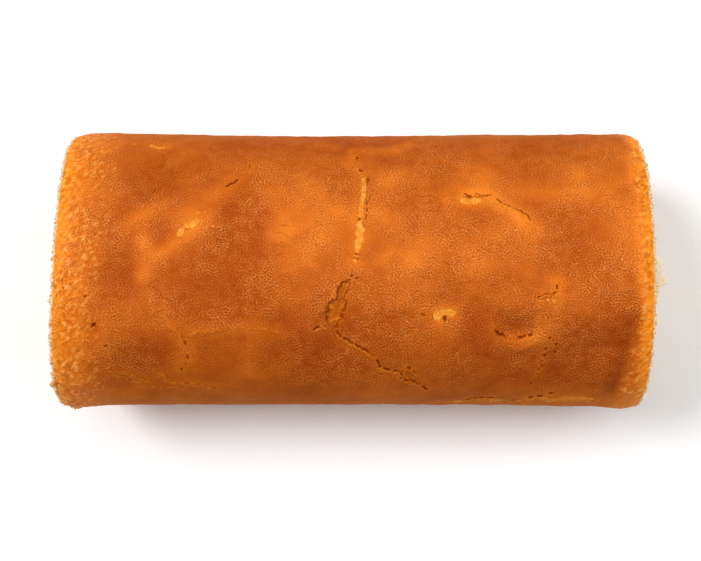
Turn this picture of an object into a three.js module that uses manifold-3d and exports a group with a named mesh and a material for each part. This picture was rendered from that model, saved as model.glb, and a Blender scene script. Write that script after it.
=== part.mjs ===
// Swiss roll: one baked sponge sheet wound round a layer of cream, lying on its own seam.
// Millimetres. X runs along the roll, the front is -Y and +Z is up, with the resting face at z = 0.
// A place on the crust is given by its distance along the roll and its lean, in degrees from the crown
// towards the front. Depth inside the roll is a share of the way in from the outline to the winding axis.
import * as THREE from "three";
import { mergeVertices } from "three/addons/utils/BufferGeometryUtils.js";
import Module from "manifold-3d";

const { clamp, degToRad, lerp, smoothstep } = THREE.MathUtils;

// Driving dimensions of the whole roll.
const LENGTH = 220;
const WIDTH = 108;
const HEIGHT = 88;
const AXIS_HEIGHT = 42; // the level where the roll is widest
const BASE_PRESS = 3.5; // how far the round underside is pressed flat by its own weight
const ROUNDNESS = 2.15; // exponent of the outline: 2 is an ellipse, more is fuller at the shoulders
const MIDDLE_ALONG = -1.4; // the sponge's middle, set off so that roll and squeezed cream are centred

// The sheet and its winding, counted in turns from the outer tip, which is tucked under the back.
const SPONGE_THICK = 11.5;
const TIP_THICK = 7;
const TIP_TAPER = 0.1; // turns over which the tip thickens
const TIP_LEAN = 204;
const SHEET_TURNS = 2.3;
const CRUST_TURNS = 64 / 60; // the stretch of the outer face that can be seen
const WIND_TURNS = [0, 0.45, 0.86, 1, 1.14, 1.5, 1.86, 2.06, 2.3];
const WIND_SHARES = [0, 0.045, 0.105, 0.185, 0.355, 0.435, 0.53, 0.63, 0.735];

// The two cut ends: rounded at the rim, a little askew, flared towards front and back, and torn by the knife.
const RIM_DROP = 2;
const RIM_REACH = 7;
const SKEW = { left: 2.2, right: 0.6 }; // how much further the front of each end reaches
const FLARE = { left: 2.3, right: 1.1 }; // how much further front and back reach than the middle
const RAGGED = 0.4;

// The cream: clear of the sponge by a hair, standing out at the ends as a soft bead.
const GAP = 0.35;
const CREAM_START = 2 / 60;
const CORE_SWEEP = 0.3; // turns of the core that face the sheet's inner end
const CREAM_RECESS = 0.6;
const CREAM_BEAD = 1.9;
const FULL_BEAD_THICK = 6; // layer thickness from which the bead stands out in full
const SQUEEZES = [
  { lean: 5.8, spread: 5, out: 4.4 },
  { lean: 15, spread: 3.2, out: 5 },
  { lean: 21, spread: 8, out: 2.2 },
];

// Fineness of the surfaces.
const ROWS_PER_TURN = 60;
const CREAM_ROWS_PER_TURN = 120;
const PLAIN_COLUMNS = 29;
const RIM_COLUMNS = [0, 0.7, 1.8, 3.7, RIM_REACH];
const BEAD_STATIONS = [0, 0.18, 0.5, 0.82, 1];
const CRACK_STEP = 3.4;

// Soft swells and hollows of the crust: place, spread and height of each.
const SWELLS = [
  { along: -53, lean: -19, spread: 13, height: 1 },
  { along: -41, lean: -10, spread: 12, height: -1.3 },
  { along: -20, lean: -25, spread: 17, height: 0.8 },
  { along: 2, lean: -18, spread: 6, height: -0.8 },
  { along: -10, lean: 41, spread: 12, height: -0.9 },
  { along: 31, lean: -10, spread: 17, height: 0.7 },
  { along: 60, lean: 33, spread: 8, height: -1.2 },
  { along: 82, lean: -30, spread: 13, height: 0.7 },
  { along: -79, lean: 50, spread: 11, height: -1 },
  { along: -86, lean: 9, spread: 10, height: -0.8 },
  { along: -4, lean: -88, spread: 70, height: -1.5 },
  { along: -4, lean: 88, spread: 70, height: -0.8 },
];
const RELIEF_FADE = { from: 100, to: 135 }; // leans between which the relief dies out, front and back

// Cracks of the crust: a path of [along, lean] points, the width at its two ends, and the depth.
const CRACKS = [
  { name: "long split", from: 1.6, to: 2.6, depth: 1.2,
    path: [[0.3, -53], [-0.4, -45], [4.1, -37], [3.3, -30], [2.5, -18], [0.7, 1]] },
  { name: "opening", from: 2.2, to: 5.6, depth: 1.7,
    path: [[-1.1, 10], [-4, 14.5], [-4.8, 18.5], [-6, 24], [-8.2, 32]] },
  { name: "front crack", from: 1.6, to: 1.4, depth: 1.6,
    path: [[-15, 34], [-9, 32.5], [-1.5, 40.6], [8.1, 49.2], [14.5, 53], [18.3, 57], [26.4, 62]] },
  { name: "arc", from: 1.6, to: 1.1, depth: 1,
    path: [[32.8, -27], [48.2, -27], [54.7, -22.7], [62.2, -17.4], [64.6, -13]] },
  { name: "pit", from: 2.4, to: 3.6, depth: 1.4, path: [[29, 26], [34.6, 25.5], [38, 27.2]] },
  { name: "corner crack", from: 1.2, to: 1.5, depth: 1.2, path: [[67.3, 19.4], [72.3, 18], [73.7, 13]] },
  { name: "lip", from: 1.2, to: 1.2, depth: 1.2, path: [[52, 35], [57.2, 38.3], [61, 38.7], [66.2, 35]] },
  { name: "pitted line", from: 1, to: 1.2, depth: 1, path: [[72.6, 38.3], [70.8, 46], [67.1, 61]] },
  { name: "front tear", from: 1.2, to: 1.4, depth: 1,
    path: [[29.5, 78], [45, 76.8], [51.4, 72], [64.4, 76.8], [72.4, 70.7]] },
  { name: "fork", from: 1, to: 1.4, depth: 1, path: [[-69, 29.4], [-63, 37], [-61.3, 45.3], [-65, 54]] },
  { name: "low crease", from: 1.6, to: 1.6, depth: 0.8,
    path: [[-91, 52.3], [-82, 56.8], [-72.5, 55], [-65.5, 59.2], [-54.5, 62.5]] },
  { name: "pale nick", from: 1.4, to: 2, depth: 0.8, path: [[-64.2, -7.2], [-61.4, -11.8], [-57.4, -14.6]] },
];
const CRACK_JITTER = 0.7;
const CRACK_PROUD = 1.5; // how far each cutting shape stands above the crust
const CRACK_FLOOR = 0.35; // floor width as a share of the mouth
const CRACK_TIP = 0.3; // width and depth at the two ends as a share of the full ones
const CRACK_FULLNESS = 0.6; // exponent of the taper: less is fuller towards the ends

// Fixed starts for the torn rims and the jagged cracks.
const TEAR_SEED = 17;
const CRACK_SEED = 29;

// Looks.
const CRUST_LOOK = { color: 0xcb6c22, roughness: 0.72, metalness: 0 };
const CREAM_LOOK = { color: 0xf1e4cc, roughness: 0.5, metalness: 0 };

const wasm = await Module();
wasm.setup();

// The same run of numbers between 0 and 1 on every build.
function seededNumbers(seed) {
  let state = seed;
  return () => {
    state = (state * 16807) % 2147483647;
    return state / 2147483647;
  };
}

const winding = new THREE.CubicInterpolant(WIND_TURNS, WIND_SHARES, 1);
const windShare = (turn) => winding.evaluate(turn)[0];
const leanAt = (turn) => TIP_LEAN - 360 * turn;
const turnAt = (lean) => (TIP_LEAN - lean) / 360;

// The outline's half axes, worked out so that the wound roll has the stated width and height.
const FRONT_SHARE = 1 - windShare(turnAt(90));
const BACK_SHARE = 1 - windShare(turnAt(-90));
const HALF_SPREAD = WIDTH / (FRONT_SHARE + BACK_SHARE);
const CROWN_RISE = (HEIGHT - AXIS_HEIGHT) / (1 - windShare(turnAt(0)));
const BASE_DROP = AXIS_HEIGHT + BASE_PRESS;
const AXIS_Y = HALF_SPREAD * FRONT_SHARE - WIDTH / 2;
const MEAN_RADIUS = (WIDTH + HEIGHT) / 4;

function outlineRadius(lean) {
  const across = Math.abs(Math.sin(lean)) / HALF_SPREAD;
  const upright = Math.abs(Math.cos(lean)) / (Math.cos(lean) > 0 ? CROWN_RISE : BASE_DROP);
  return (across ** ROUNDNESS + upright ** ROUNDNESS) ** (-1 / ROUNDNESS);
}

// Share of the way in to the sheet's inner face.
function innerShare(turn) {
  const thick = lerp(TIP_THICK, SPONGE_THICK, smoothstep(turn, 0, TIP_TAPER));
  return windShare(turn) + thick / MEAN_RADIUS;
}

// A point of the cross-section as (y, z), at a turn and a share of the way in, moved outward by a length.
function sectionPoint(turn, share, outward = 0) {
  const lean = degToRad(leanAt(turn));
  const reach = outlineRadius(lean) * (1 - share) + outward;
  const z = AXIS_HEIGHT + reach * Math.cos(lean);
  return new THREE.Vector2(AXIS_Y - reach * Math.sin(lean), Math.max(z, 0));
}

// Where a cut end lies along the roll at a given y.
function endAlong(side, y) {
  const forward = (AXIS_Y - y) / (WIDTH / 2);
  const end = side < 0 ? "left" : "right";
  return MIDDLE_ALONG + side * (LENGTH / 2 + SKEW[end] * forward + FLARE[end] * forward ** 2);
}

function crustRelief(along, lean) {
  const fade = 1 - smoothstep(Math.abs(lean), RELIEF_FADE.from, RELIEF_FADE.to);
  const arc = degToRad(1) * MEAN_RADIUS;
  return SWELLS.reduce((sum, swell) => {
    const away = Math.hypot(along - swell.along, (lean - swell.lean) * arc) / swell.spread;
    return sum + swell.height * fade * Math.exp(-away * away);
  }, 0);
}

function rimDrop(fromEnd) {
  const over = 1 - clamp(fromEnd / RIM_REACH, 0, 1);
  return RIM_DROP * (1 - Math.sqrt(1 - over * over));
}

// A point of the crust at a winding turn, a place along the roll and a distance from the nearer end.
function crustPoint(turn, along, fromEnd) {
  const lift = crustRelief(along - MIDDLE_ALONG, leanAt(turn)) - rimDrop(fromEnd);
  const { x: y, y: z } = sectionPoint(turn, windShare(turn), lift);
  return new THREE.Vector3(along, y, z);
}

// A closed surface gathered triangle by triangle.
class Skin {
  constructor() {
    this.corners = [];
  }

  triangle(a, b, c) {
    if (a.equals(b) || b.equals(c) || c.equals(a)) return;
    this.corners.push(a, b, c);
  }

  // Joins two rows of points. A row of two points takes all of a longer row as a fan from its two ends.
  bridge(near, far) {
    if (near.length === far.length) {
      for (let j = 0; j + 1 < near.length; j++) {
        this.triangle(near[j], near[j + 1], far[j + 1]);
        this.triangle(near[j], far[j + 1], far[j]);
      }
      return;
    }
    const fan = near.length > far.length;
    const [many, few] = fan ? [near, far] : [far, near];
    const middle = Math.floor(many.length / 2);
    for (let j = 0; j + 1 < many.length; j++) {
      const anchor = j < middle ? few[0] : few[1];
      if (fan) this.triangle(many[j], many[j + 1], anchor);
      else this.triangle(many[j + 1], many[j], anchor);
    }
    if (fan) this.triangle(many[middle], few[1], few[0]);
    else this.triangle(many[middle], few[0], few[1]);
  }

  solid() {
    const loose = new THREE.BufferGeometry().setFromPoints(this.corners);
    const merged = mergeVertices(loose, 1e-4);
    const triVerts = new Uint32Array(merged.index.array);
    const vertProperties = merged.attributes.position.array;
    return new wasm.Manifold(new wasm.Mesh({ numProp: 3, vertProperties, triVerts }));
  }
}

function meshOf(name, solid, material) {
  const { vertProperties, triVerts } = solid.getMesh();
  const geometry = new THREE.BufferGeometry();
  geometry.setAttribute("position", new THREE.BufferAttribute(vertProperties, 3));
  geometry.setIndex(new THREE.BufferAttribute(triVerts, 1));
  geometry.computeVertexNormals();
  const mesh = new THREE.Mesh(geometry, new THREE.MeshStandardMaterial(material));
  mesh.name = name;
  return mesh;
}

// Columns of the crust as distances from the left end of a roll of the nominal length.
function crustColumns() {
  const plain = LENGTH - 2 * RIM_REACH;
  const columns = [...RIM_COLUMNS];
  for (let j = 1; j < PLAIN_COLUMNS; j++) columns.push(RIM_REACH + (plain * j) / PLAIN_COLUMNS);
  RIM_COLUMNS.toReversed().forEach((fromEnd) => columns.push(LENGTH - fromEnd));
  return columns;
}

// The rolled sheet: a fine outer face where the crust shows, plain faces where the cream hides it.
function spongeSolid() {
  const skin = new Skin();
  const random = seededNumbers(TEAR_SEED);
  const columns = crustColumns();
  const crustRows = Math.round(CRUST_TURNS * ROWS_PER_TURN);
  const rows = Math.round(SHEET_TURNS * ROWS_PER_TURN);
  const outer = [];
  const inner = [];
  for (let i = 0; i <= rows; i++) {
    const turn = i / ROWS_PER_TURN;
    const face = sectionPoint(turn, windShare(turn));
    const back = sectionPoint(turn, innerShare(turn));
    const tear = i <= crustRows ? RAGGED : 0;
    const [left, right] = [-1, 1].map((side) => endAlong(side, face.x) + tear * (2 * random() - 1));
    const shown = i <= crustRows ? columns : [0, LENGTH];
    outer.push(shown.map((column) => {
      const along = lerp(left, right, column / LENGTH);
      const fromEnd = Math.min(column, LENGTH - column);
      if (i <= crustRows) return crustPoint(turn, along, fromEnd);
      return new THREE.Vector3(along, face.x, face.y);
    }));
    inner.push([-1, 1].map((side) => new THREE.Vector3(endAlong(side, back.x), back.x, back.y)));
  }
  for (let i = 0; i < rows; i++) {
    skin.bridge(outer[i], outer[i + 1]);
    skin.bridge(inner[i + 1], inner[i]);
    skin.bridge([inner[i][0], outer[i][0]], [inner[i + 1][0], outer[i + 1][0]]);
    skin.bridge([outer[i].at(-1), inner[i][1]], [outer[i + 1].at(-1), inner[i + 1][1]]);
  }
  skin.bridge(inner[0], outer[0]);
  skin.bridge(outer[rows], inner[rows]);
  return skin.solid();
}

// A crack as the shape that cuts it: a tapering trough that follows its jagged path over the crust.
function crackSolid(crack, random) {
  const curve = new THREE.SplineCurve(crack.path.map(([along, lean]) => new THREE.Vector2(along, lean)));
  const steps = Math.ceil(curve.getLength() / CRACK_STEP);
  const spots = curve.getSpacedPoints(steps).map((spot, i) => {
    const shake = i % steps === 0 ? 0 : CRACK_JITTER;
    return spot.add(new THREE.Vector2(2 * random() - 1, 2 * random() - 1).multiplyScalar(shake));
  });
  const places = spots.map((spot) => crustPoint(turnAt(spot.y), spot.x + MIDDLE_ALONG, RIM_REACH));
  const skin = new Skin();
  const rings = places.map((place, i) => {
    const lean = degToRad(spots[i].y);
    const out = new THREE.Vector3(0, -Math.sin(lean), Math.cos(lean));
    const ahead = places[Math.min(i + 1, steps)].clone().sub(places[Math.max(i - 1, 0)]);
    const aside = new THREE.Vector3().crossVectors(out, ahead).normalize();
    const taper = lerp(CRACK_TIP, 1, Math.sin((Math.PI * i) / steps) ** CRACK_FULLNESS);
    const half = (taper * lerp(crack.from, crack.to, i / steps)) / 2;
    const corner = (sideways, outward) =>
      place.clone().addScaledVector(aside, sideways).addScaledVector(out, outward);
    const floor = -crack.depth * taper;
    return [
      corner(half, CRACK_PROUD),
      corner(-half, CRACK_PROUD),
      corner(-half * CRACK_FLOOR, floor),
      corner(half * CRACK_FLOOR, floor),
    ];
  });
  const closed = rings.map((ring) => [...ring, ring[0]]);
  for (let i = 0; i < steps; i++) skin.bridge(closed[i], closed[i + 1]);
  [rings[0].toReversed(), rings[steps]].forEach(([a, b, c, d]) => {
    skin.triangle(a, b, c);
    skin.triangle(a, c, d);
  });
  return skin.solid();
}

// How far the cream is squeezed out of the right end at a winding turn of the first layer.
function squeezeOut(turn) {
  if (turn > 1) return 0;
  return SQUEEZES.reduce((sum, { lean, spread, out }) => {
    const away = (leanAt(turn) - lean) / spread;
    return sum + out * Math.exp(-away * away);
  }, 0);
}

// The inner wall of the cream at a turn: the next turn of sponge, then the sheet's inner end and the core.
function creamInside(turn) {
  if (turn + 1 <= SHEET_TURNS) return sectionPoint(turn + 1, windShare(turn + 1), GAP);
  const swept = clamp((turn + 1 - SHEET_TURNS) / CORE_SWEEP, 0, 1);
  const share = lerp(windShare(SHEET_TURNS), innerShare(SHEET_TURNS), swept);
  const lean = degToRad(leanAt(SHEET_TURNS));
  const past = new THREE.Vector2(Math.cos(lean), Math.sin(lean)).multiplyScalar(GAP);
  return sectionPoint(SHEET_TURNS, share, lerp(GAP, -GAP, swept)).add(past);
}

function creamSolid() {
  const skin = new Skin();
  const first = Math.round(CREAM_START * CREAM_ROWS_PER_TURN);
  const last = Math.round(SHEET_TURNS * CREAM_ROWS_PER_TURN);
  const caps = { left: [], right: [] };
  for (let i = first; i <= last; i++) {
    const turn = i / CREAM_ROWS_PER_TURN;
    const outside = sectionPoint(turn, innerShare(turn), -GAP);
    const inside = creamInside(turn);
    const thick = outside.distanceTo(inside);
    const bead = CREAM_BEAD * Math.min(1, thick / FULL_BEAD_THICK);
    Object.entries(caps).forEach(([end, cap]) => {
      const side = end === "left" ? -1 : 1;
      const squeeze = side > 0 ? squeezeOut(turn) : 0;
      cap.push(BEAD_STATIONS.map((station) => {
        const spot = new THREE.Vector2().lerpVectors(inside, outside, 1 - station);
        const swell = 2 * Math.sqrt(station * (1 - station)) * (bead + squeeze);
        const along = endAlong(side, spot.x) + side * (swell - CREAM_RECESS);
        return new THREE.Vector3(along, spot.x, spot.y);
      }));
    });
  }
  const { left, right } = caps;
  for (let i = 0; i + 1 < left.length; i++) {
    skin.bridge(left[i + 1], left[i]);
    skin.bridge(right[i], right[i + 1]);
    skin.bridge([left[i][0], right[i][0]], [left[i + 1][0], right[i + 1][0]]);
    skin.bridge([right[i].at(-1), left[i].at(-1)], [right[i + 1].at(-1), left[i + 1].at(-1)]);
  }
  skin.bridge(left[0], right[0]);
  skin.bridge(right.at(-1), left.at(-1));
  return skin.solid();
}

const random = seededNumbers(CRACK_SEED);
const sponge = CRACKS.reduce((solid, crack) => solid.subtract(crackSolid(crack, random)), spongeSolid());

const swissRoll = new THREE.Group();
swissRoll.name = "swiss_roll";
swissRoll.add(
  meshOf("sponge", sponge, CRUST_LOOK),
  meshOf("cream", creamSolid(), CREAM_LOOK),
);

export default swissRoll;
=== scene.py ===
"""Looks of a swiss roll: a baked sponge sheet wound round white cream, browned and cut at both ends.

Sizes are millimetres and degrees until a mesh is finished, which is in metres. A place on the crust is
given by how far along the roll it lies, from the sponge's middle, and by its lean, the angle from the
crown towards the front.
"""

from __future__ import annotations

import logging
import math
from collections.abc import Callable
from dataclasses import dataclass
from enum import Enum
from typing import Any

import bmesh
import bpy
import numpy as np
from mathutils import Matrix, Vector, kdtree

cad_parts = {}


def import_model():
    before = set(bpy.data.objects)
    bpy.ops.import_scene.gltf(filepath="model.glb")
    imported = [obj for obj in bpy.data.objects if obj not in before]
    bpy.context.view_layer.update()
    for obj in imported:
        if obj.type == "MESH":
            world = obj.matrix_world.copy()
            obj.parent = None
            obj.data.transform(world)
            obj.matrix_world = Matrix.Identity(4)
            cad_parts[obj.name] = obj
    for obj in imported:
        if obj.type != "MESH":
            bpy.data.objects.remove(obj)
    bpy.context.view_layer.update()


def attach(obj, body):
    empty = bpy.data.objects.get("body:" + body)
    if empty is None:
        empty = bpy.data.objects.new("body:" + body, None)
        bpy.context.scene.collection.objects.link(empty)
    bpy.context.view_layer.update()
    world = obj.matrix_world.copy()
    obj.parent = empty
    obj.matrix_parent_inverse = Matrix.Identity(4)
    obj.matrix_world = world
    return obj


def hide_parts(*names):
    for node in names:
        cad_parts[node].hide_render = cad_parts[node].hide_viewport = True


MM = 0.001
LOG = logging.getLogger("swiss_roll")

Colour = tuple[float, float, float, float]
Span = tuple[float, float]
Path = tuple[tuple[float, float], ...]
Array = np.ndarray


class End(Enum):
    """The two cut ends, by the way they face along the roll."""

    LEFT = -1
    RIGHT = 1


class Slot(Enum):
    """The record's material slots."""

    SPONGE = "sponge"
    CREAM = "cream"


class Node(Enum):
    """The solids that the scene's pieces stand for."""

    SPONGE = "sponge"
    CREAM = "cream"


def srgb(red: int, green: int, blue: int) -> Colour:
    """Turn a screen colour into the linear colour that a shader takes.

    Args:
        red: red from 0 to 255.
        green: green from 0 to 255.
        blue: blue from 0 to 255.

    Returns:
        The linear colour with full alpha.
    """
    parts = [value / 255 for value in (red, green, blue)]
    linear = [part / 12.92 if part <= 0.04045 else ((part + 0.055) / 1.055) ** 2.4 for part in parts]
    return (*linear, 1.0)


def ease(value: Array, start: float, stop: float) -> Array:
    """Smooth step from 0 at start to 1 at stop, where stop may be the smaller."""
    share = np.clip((value - start) / (stop - start), 0, 1)
    return share * share * (3 - 2 * share)


def spaced(sockets: dict[str, Any]) -> dict[str, Any]:
    """Sockets under their own names, which have spaces for underscores."""
    return {name.replace("_", " "): value for name, value in sockets.items()}


def math_sign(operation: str, turned: bool = False) -> Callable[[Wire, Wire | float], Wire]:
    """Method of a sign such as a plus: one Math node on the board, with its values turned or not."""
    if turned:
        return lambda wire, other: wire.board.math(operation, other, wire)
    return lambda wire, other: wire.board.math(operation, wire, other)


class Wire:
    """A node's output that takes part in sums: an expression adds its Math nodes to the board."""

    def __init__(self, board: Board, socket: bpy.types.NodeSocket | None) -> None:
        """Keep the socket and the board that it is on."""
        self.board = board
        self.socket = socket

    def side(self, name: str | int) -> Wire:
        """Another output of the same node."""
        return Wire(self.board, self.socket.node.outputs[name])

    def __neg__(self) -> Wire:
        """This with its sign turned."""
        return self.board.math("MULTIPLY", self, -1.0)

    def __abs__(self) -> Wire:
        """Size of this without its sign."""
        return self.board.math("ABSOLUTE", self)

    __add__ = __radd__ = math_sign("ADD")
    __sub__ = math_sign("SUBTRACT")
    __rsub__ = math_sign("SUBTRACT", turned=True)
    __mul__ = __rmul__ = math_sign("MULTIPLY")
    __truediv__ = math_sign("DIVIDE")
    __rtruediv__ = math_sign("DIVIDE", turned=True)
    __pow__ = math_sign("POWER")


class Board:
    """A node tree, and the one way in which nodes are put on it."""

    def __init__(self, tree: bpy.types.NodeTree) -> None:
        """Keep the tree that the nodes go on."""
        self.tree = tree

    def node(
        self, kind: str, settings: dict[str, Any] | None = None, sockets: dict[str | int, Any] | None = None
    ) -> Wire:
        """Put one node on the board.

        Args:
            kind: the node's type.
            settings: its properties, which are set first.
            sockets: values or wires for its inputs, by name or number.

        Returns:
            A wire from its first output.
        """
        made = self.tree.nodes.new(kind)
        for name, value in (settings or {}).items():
            setattr(made, name, value)
        for name, value in (sockets or {}).items():
            if isinstance(value, Wire):
                self.tree.links.new(value.socket, made.inputs[name])
            else:
                made.inputs[name].default_value = value
        return Wire(self, made.outputs[0] if made.outputs else None)

    def math(self, operation: str, *values: Wire | float) -> Wire:
        """A Math node on one to three values."""
        return self.node("ShaderNodeMath", {"operation": operation}, dict(enumerate(values)))

    def vector(self, operation: str, *values: Any) -> Wire:
        """A Vector Math node on its vectors."""
        return self.node("ShaderNodeVectorMath", {"operation": operation}, dict(enumerate(values)))

    def split(self, vector: Wire) -> Wire:
        """A vector's X, with Y and Z at its sides."""
        return self.node("ShaderNodeSeparateXYZ", None, {"Vector": vector})

    def join(self, **axes: Wire) -> Wire:
        """A vector made of its axes, where one that isn't given is 0."""
        return self.node("ShaderNodeCombineXYZ", None, axes)

    def scaled(self, vector: Wire, factor: Wire | float) -> Wire:
        """A vector made longer by a factor."""
        sockets = {"Vector": vector, "Scale": factor}
        return self.node("ShaderNodeVectorMath", {"operation": "SCALE"}, sockets)

    def smooth(self, value: Wire, start: Wire | float, stop: Wire | float) -> Wire:
        """Smooth step from 0 at start to 1 at stop, where stop may be the smaller."""
        sockets = {"Value": value, "From Min": start, "From Max": stop}
        return self.node("ShaderNodeMapRange", {"interpolation_type": "SMOOTHSTEP"}, sockets)

    def between(self, ends: Span, share: Wire) -> Wire:
        """The value that lies a share of the way from the first to the second."""
        return ends[0] + share * (ends[1] - ends[0])

    def noise(self, at: Wire, size: float, detail: float = 0.0, shake: float = 0.0) -> Wire:
        """Soft noise between 0 and 1, by the size of its waves, their finer detail and their shake."""
        sockets = {"Vector": at, "Scale": 1 / size, "Detail": detail, "Distortion": shake}
        return self.node("ShaderNodeTexNoise", {"noise_dimensions": "3D"}, sockets)

    def swing(self, at: Wire, size: float, detail: float = 0.0, shake: float = 0.0) -> Wire:
        """The same soft noise between -1 and 1."""
        return (self.noise(at, size, detail, shake) - 0.5) * 2.0

    def cells(self, at: Wire, size: float) -> Wire:
        """Distance to the nearest of scattered points, as a share of their spacing."""
        return self.node("ShaderNodeTexVoronoi", {"feature": "F1"}, {"Vector": at, "Scale": 1 / size})

    def blend(self, share: Wire | float, first: Any, second: Any, way: str = "MIX") -> Wire:
        """Mix a share of a second colour into a first, where each is plain or on a wire."""
        settings = {"data_type": "RGBA", "blend_type": way}
        return self.node("ShaderNodeMix", settings, {0: share, 6: first, 7: second}).side(2)


class Recipe:
    """A Geometry Nodes tree with named inputs, run once on an object to leave a plain mesh."""

    def __init__(self, name: str) -> None:
        """Start an empty tree of that name."""
        self.tree = bpy.data.node_groups.new(name, "GeometryNodeTree")
        self.board = Board(self.tree)
        self.values: dict[str, Any] = {}
        for way in ("INPUT", "OUTPUT"):
            self.tree.interface.new_socket("Geometry", in_out=way, socket_type="NodeSocketGeometry")
        self.entry = self.board.node("NodeGroupInput")
        self.geometry = self.entry

    def given(self, name: str, value: Any, kind: str = "NodeSocketFloat") -> Wire:
        """Add a named input.

        Args:
            name: the input's name.
            value: what the modifier sets it to.
            kind: the socket's type.

        Returns:
            The input as a wire.
        """
        socket = self.tree.interface.new_socket(name, in_out="INPUT", socket_type=kind)
        self.values[socket.identifier] = value
        return self.entry.side(name)

    def read(self, name: str, kind: str = "FLOAT") -> Wire:
        """A value that the mesh's points or faces carry."""
        return self.board.node("GeometryNodeInputNamedAttribute", {"data_type": kind}, {"Name": name})

    def then(self, kind: str, settings: dict[str, Any] | None = None, **sockets: Any) -> None:
        """Pass the geometry through one more node."""
        self.geometry = self.board.node(kind, settings, {0: self.geometry, **spaced(sockets)})

    def store(self, name: str, value: Wire) -> None:
        """Leave a value on the mesh's points under a name."""
        self.then("GeometryNodeStoreNamedAttribute", {"data_type": "FLOAT"}, Name=name, Value=value)

    def shift(self, along: Wire) -> None:
        """Move the points along the roll."""
        self.then("GeometryNodeSetPosition", Offset=self.board.join(X=along))

    def to_metres(self) -> None:
        """Turn the finished shape from millimetres into a smooth plain mesh in metres."""
        self.then("GeometryNodeTransform", Scale=(MM, MM, MM))
        self.then("GeometryNodeSetShadeSmooth")
        self.then("GeometryNodeRealizeInstances")

    def run(self, piece: bpy.types.Object) -> None:
        """Finish the tree, run it on a piece and leave the result as the piece's own mesh.

        Args:
            piece: the object whose mesh is the tree's input.
        """
        self.board.node("NodeGroupOutput", None, {0: self.geometry})
        modifier = piece.modifiers.new(self.tree.name, "NODES")
        modifier.node_group = self.tree
        for identifier, value in self.values.items():
            modifier[identifier] = value
        depsgraph = bpy.context.evaluated_depsgraph_get()
        made = bpy.data.meshes.new_from_object(
            piece.evaluated_get(depsgraph), preserve_all_data_layers=True, depsgraph=depsgraph
        )
        piece.modifiers.remove(modifier)
        flat = piece.data
        piece.data = made
        made.name = piece.name
        bpy.data.meshes.remove(flat)


@dataclass(frozen=True)
class Cloud:
    """Soft clouds of noise: their size, the noise at which they start and are full, and their detail."""

    size: float
    start: float
    full: float
    detail: float = 1.0


@dataclass(frozen=True)
class Tint:
    """A colour, the values at which it starts and is full, and its share where it is full."""

    colour: Colour
    start: float
    full: float
    share: float = 1.0


class Paint:
    """A material with one principled shader, on whose board a finish works out its colours."""

    def __init__(self, name: str) -> None:
        """Start a material whose positions are in millimetres."""
        self.material = bpy.data.materials.new(name)
        self.material.use_nodes = True
        self.material.node_tree.nodes.clear()
        self.board = Board(self.material.node_tree)
        place = self.board.node("ShaderNodeTexCoord").side("Object")
        self.place = self.board.scaled(place, 1 / MM)

    def read(self, name: str) -> Wire:
        """A value that the mesh's points carry."""
        return self.board.node("ShaderNodeAttribute", {"attribute_name": name}).side("Fac")

    def clouds(self, cloud: Cloud) -> Wire:
        """Clouds over the piece, between 0 and 1."""
        noise = self.board.noise(self.place, cloud.size, cloud.detail)
        return self.board.smooth(noise, cloud.start, cloud.full)

    def tinted(self, base: Wire | Colour, tint: Tint, value: Wire, within: Wire | float = 1.0) -> Wire:
        """Lay a tint over a colour where a value brings it in, as far as it may show there."""
        shown = self.board.smooth(value, tint.start, tint.full) * within * tint.share
        return self.board.blend(shown, base, tint.colour)

    def bump(self, height: Wire, distance: float) -> Wire:
        """A normal that follows a height, whose full step is a distance in millimetres."""
        sockets = {"Height": height, "Distance": distance * MM, "Strength": 1.0}
        return self.board.node("ShaderNodeBump", None, sockets)

    def finish(self, **sockets: Any) -> bpy.types.Material:
        """Close the material.

        Args:
            sockets: the shader's inputs, with underscores for spaces.

        Returns:
            The finished material.
        """
        shader = self.board.node("ShaderNodeBsdfPrincipled", None, spaced(sockets))
        self.board.node("ShaderNodeOutputMaterial", None, {"Surface": shader})
        return self.material


@dataclass(frozen=True)
class BakedFace:
    """The baked face: brown in its hollows and orange on its swells, partly browner baking and partly
    painted shade, with soft patches and mottling.
    """

    deep: Colour = srgb(164, 66, 10)
    middle: Tint = Tint(srgb(216, 109, 28), -0.1, 0.75)
    light: Tint = Tint(srgb(246, 138, 44), 0.3, 1.0)
    mottle: Cloud = Cloud(11.0, 0.25, 0.75, 3.0)
    patch: Cloud = Cloud(42.0, 0.3, 0.7, 2.0)
    relief_shade_share: float = 0.38
    patch_share: float = 0.14
    mottle_share: float = 0.16
    plain_tone: float = 0.14

    def dress(self, paint: Paint, mottle: Wire) -> Wire:
        """Colour the face.

        Args:
            paint: the crust's paint.
            mottle: soft mottling between 0 and 1.

        Returns:
            The colour.
        """
        # partly painted shade: the relief darkens the hollows and lightens the swells
        tone = paint.read("relief") * self.relief_shade_share + paint.clouds(self.patch) * self.patch_share
        tone = tone + mottle * self.mottle_share + self.plain_tone
        return paint.tinted(paint.tinted(self.deep, self.middle, tone), self.light, tone)


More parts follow.
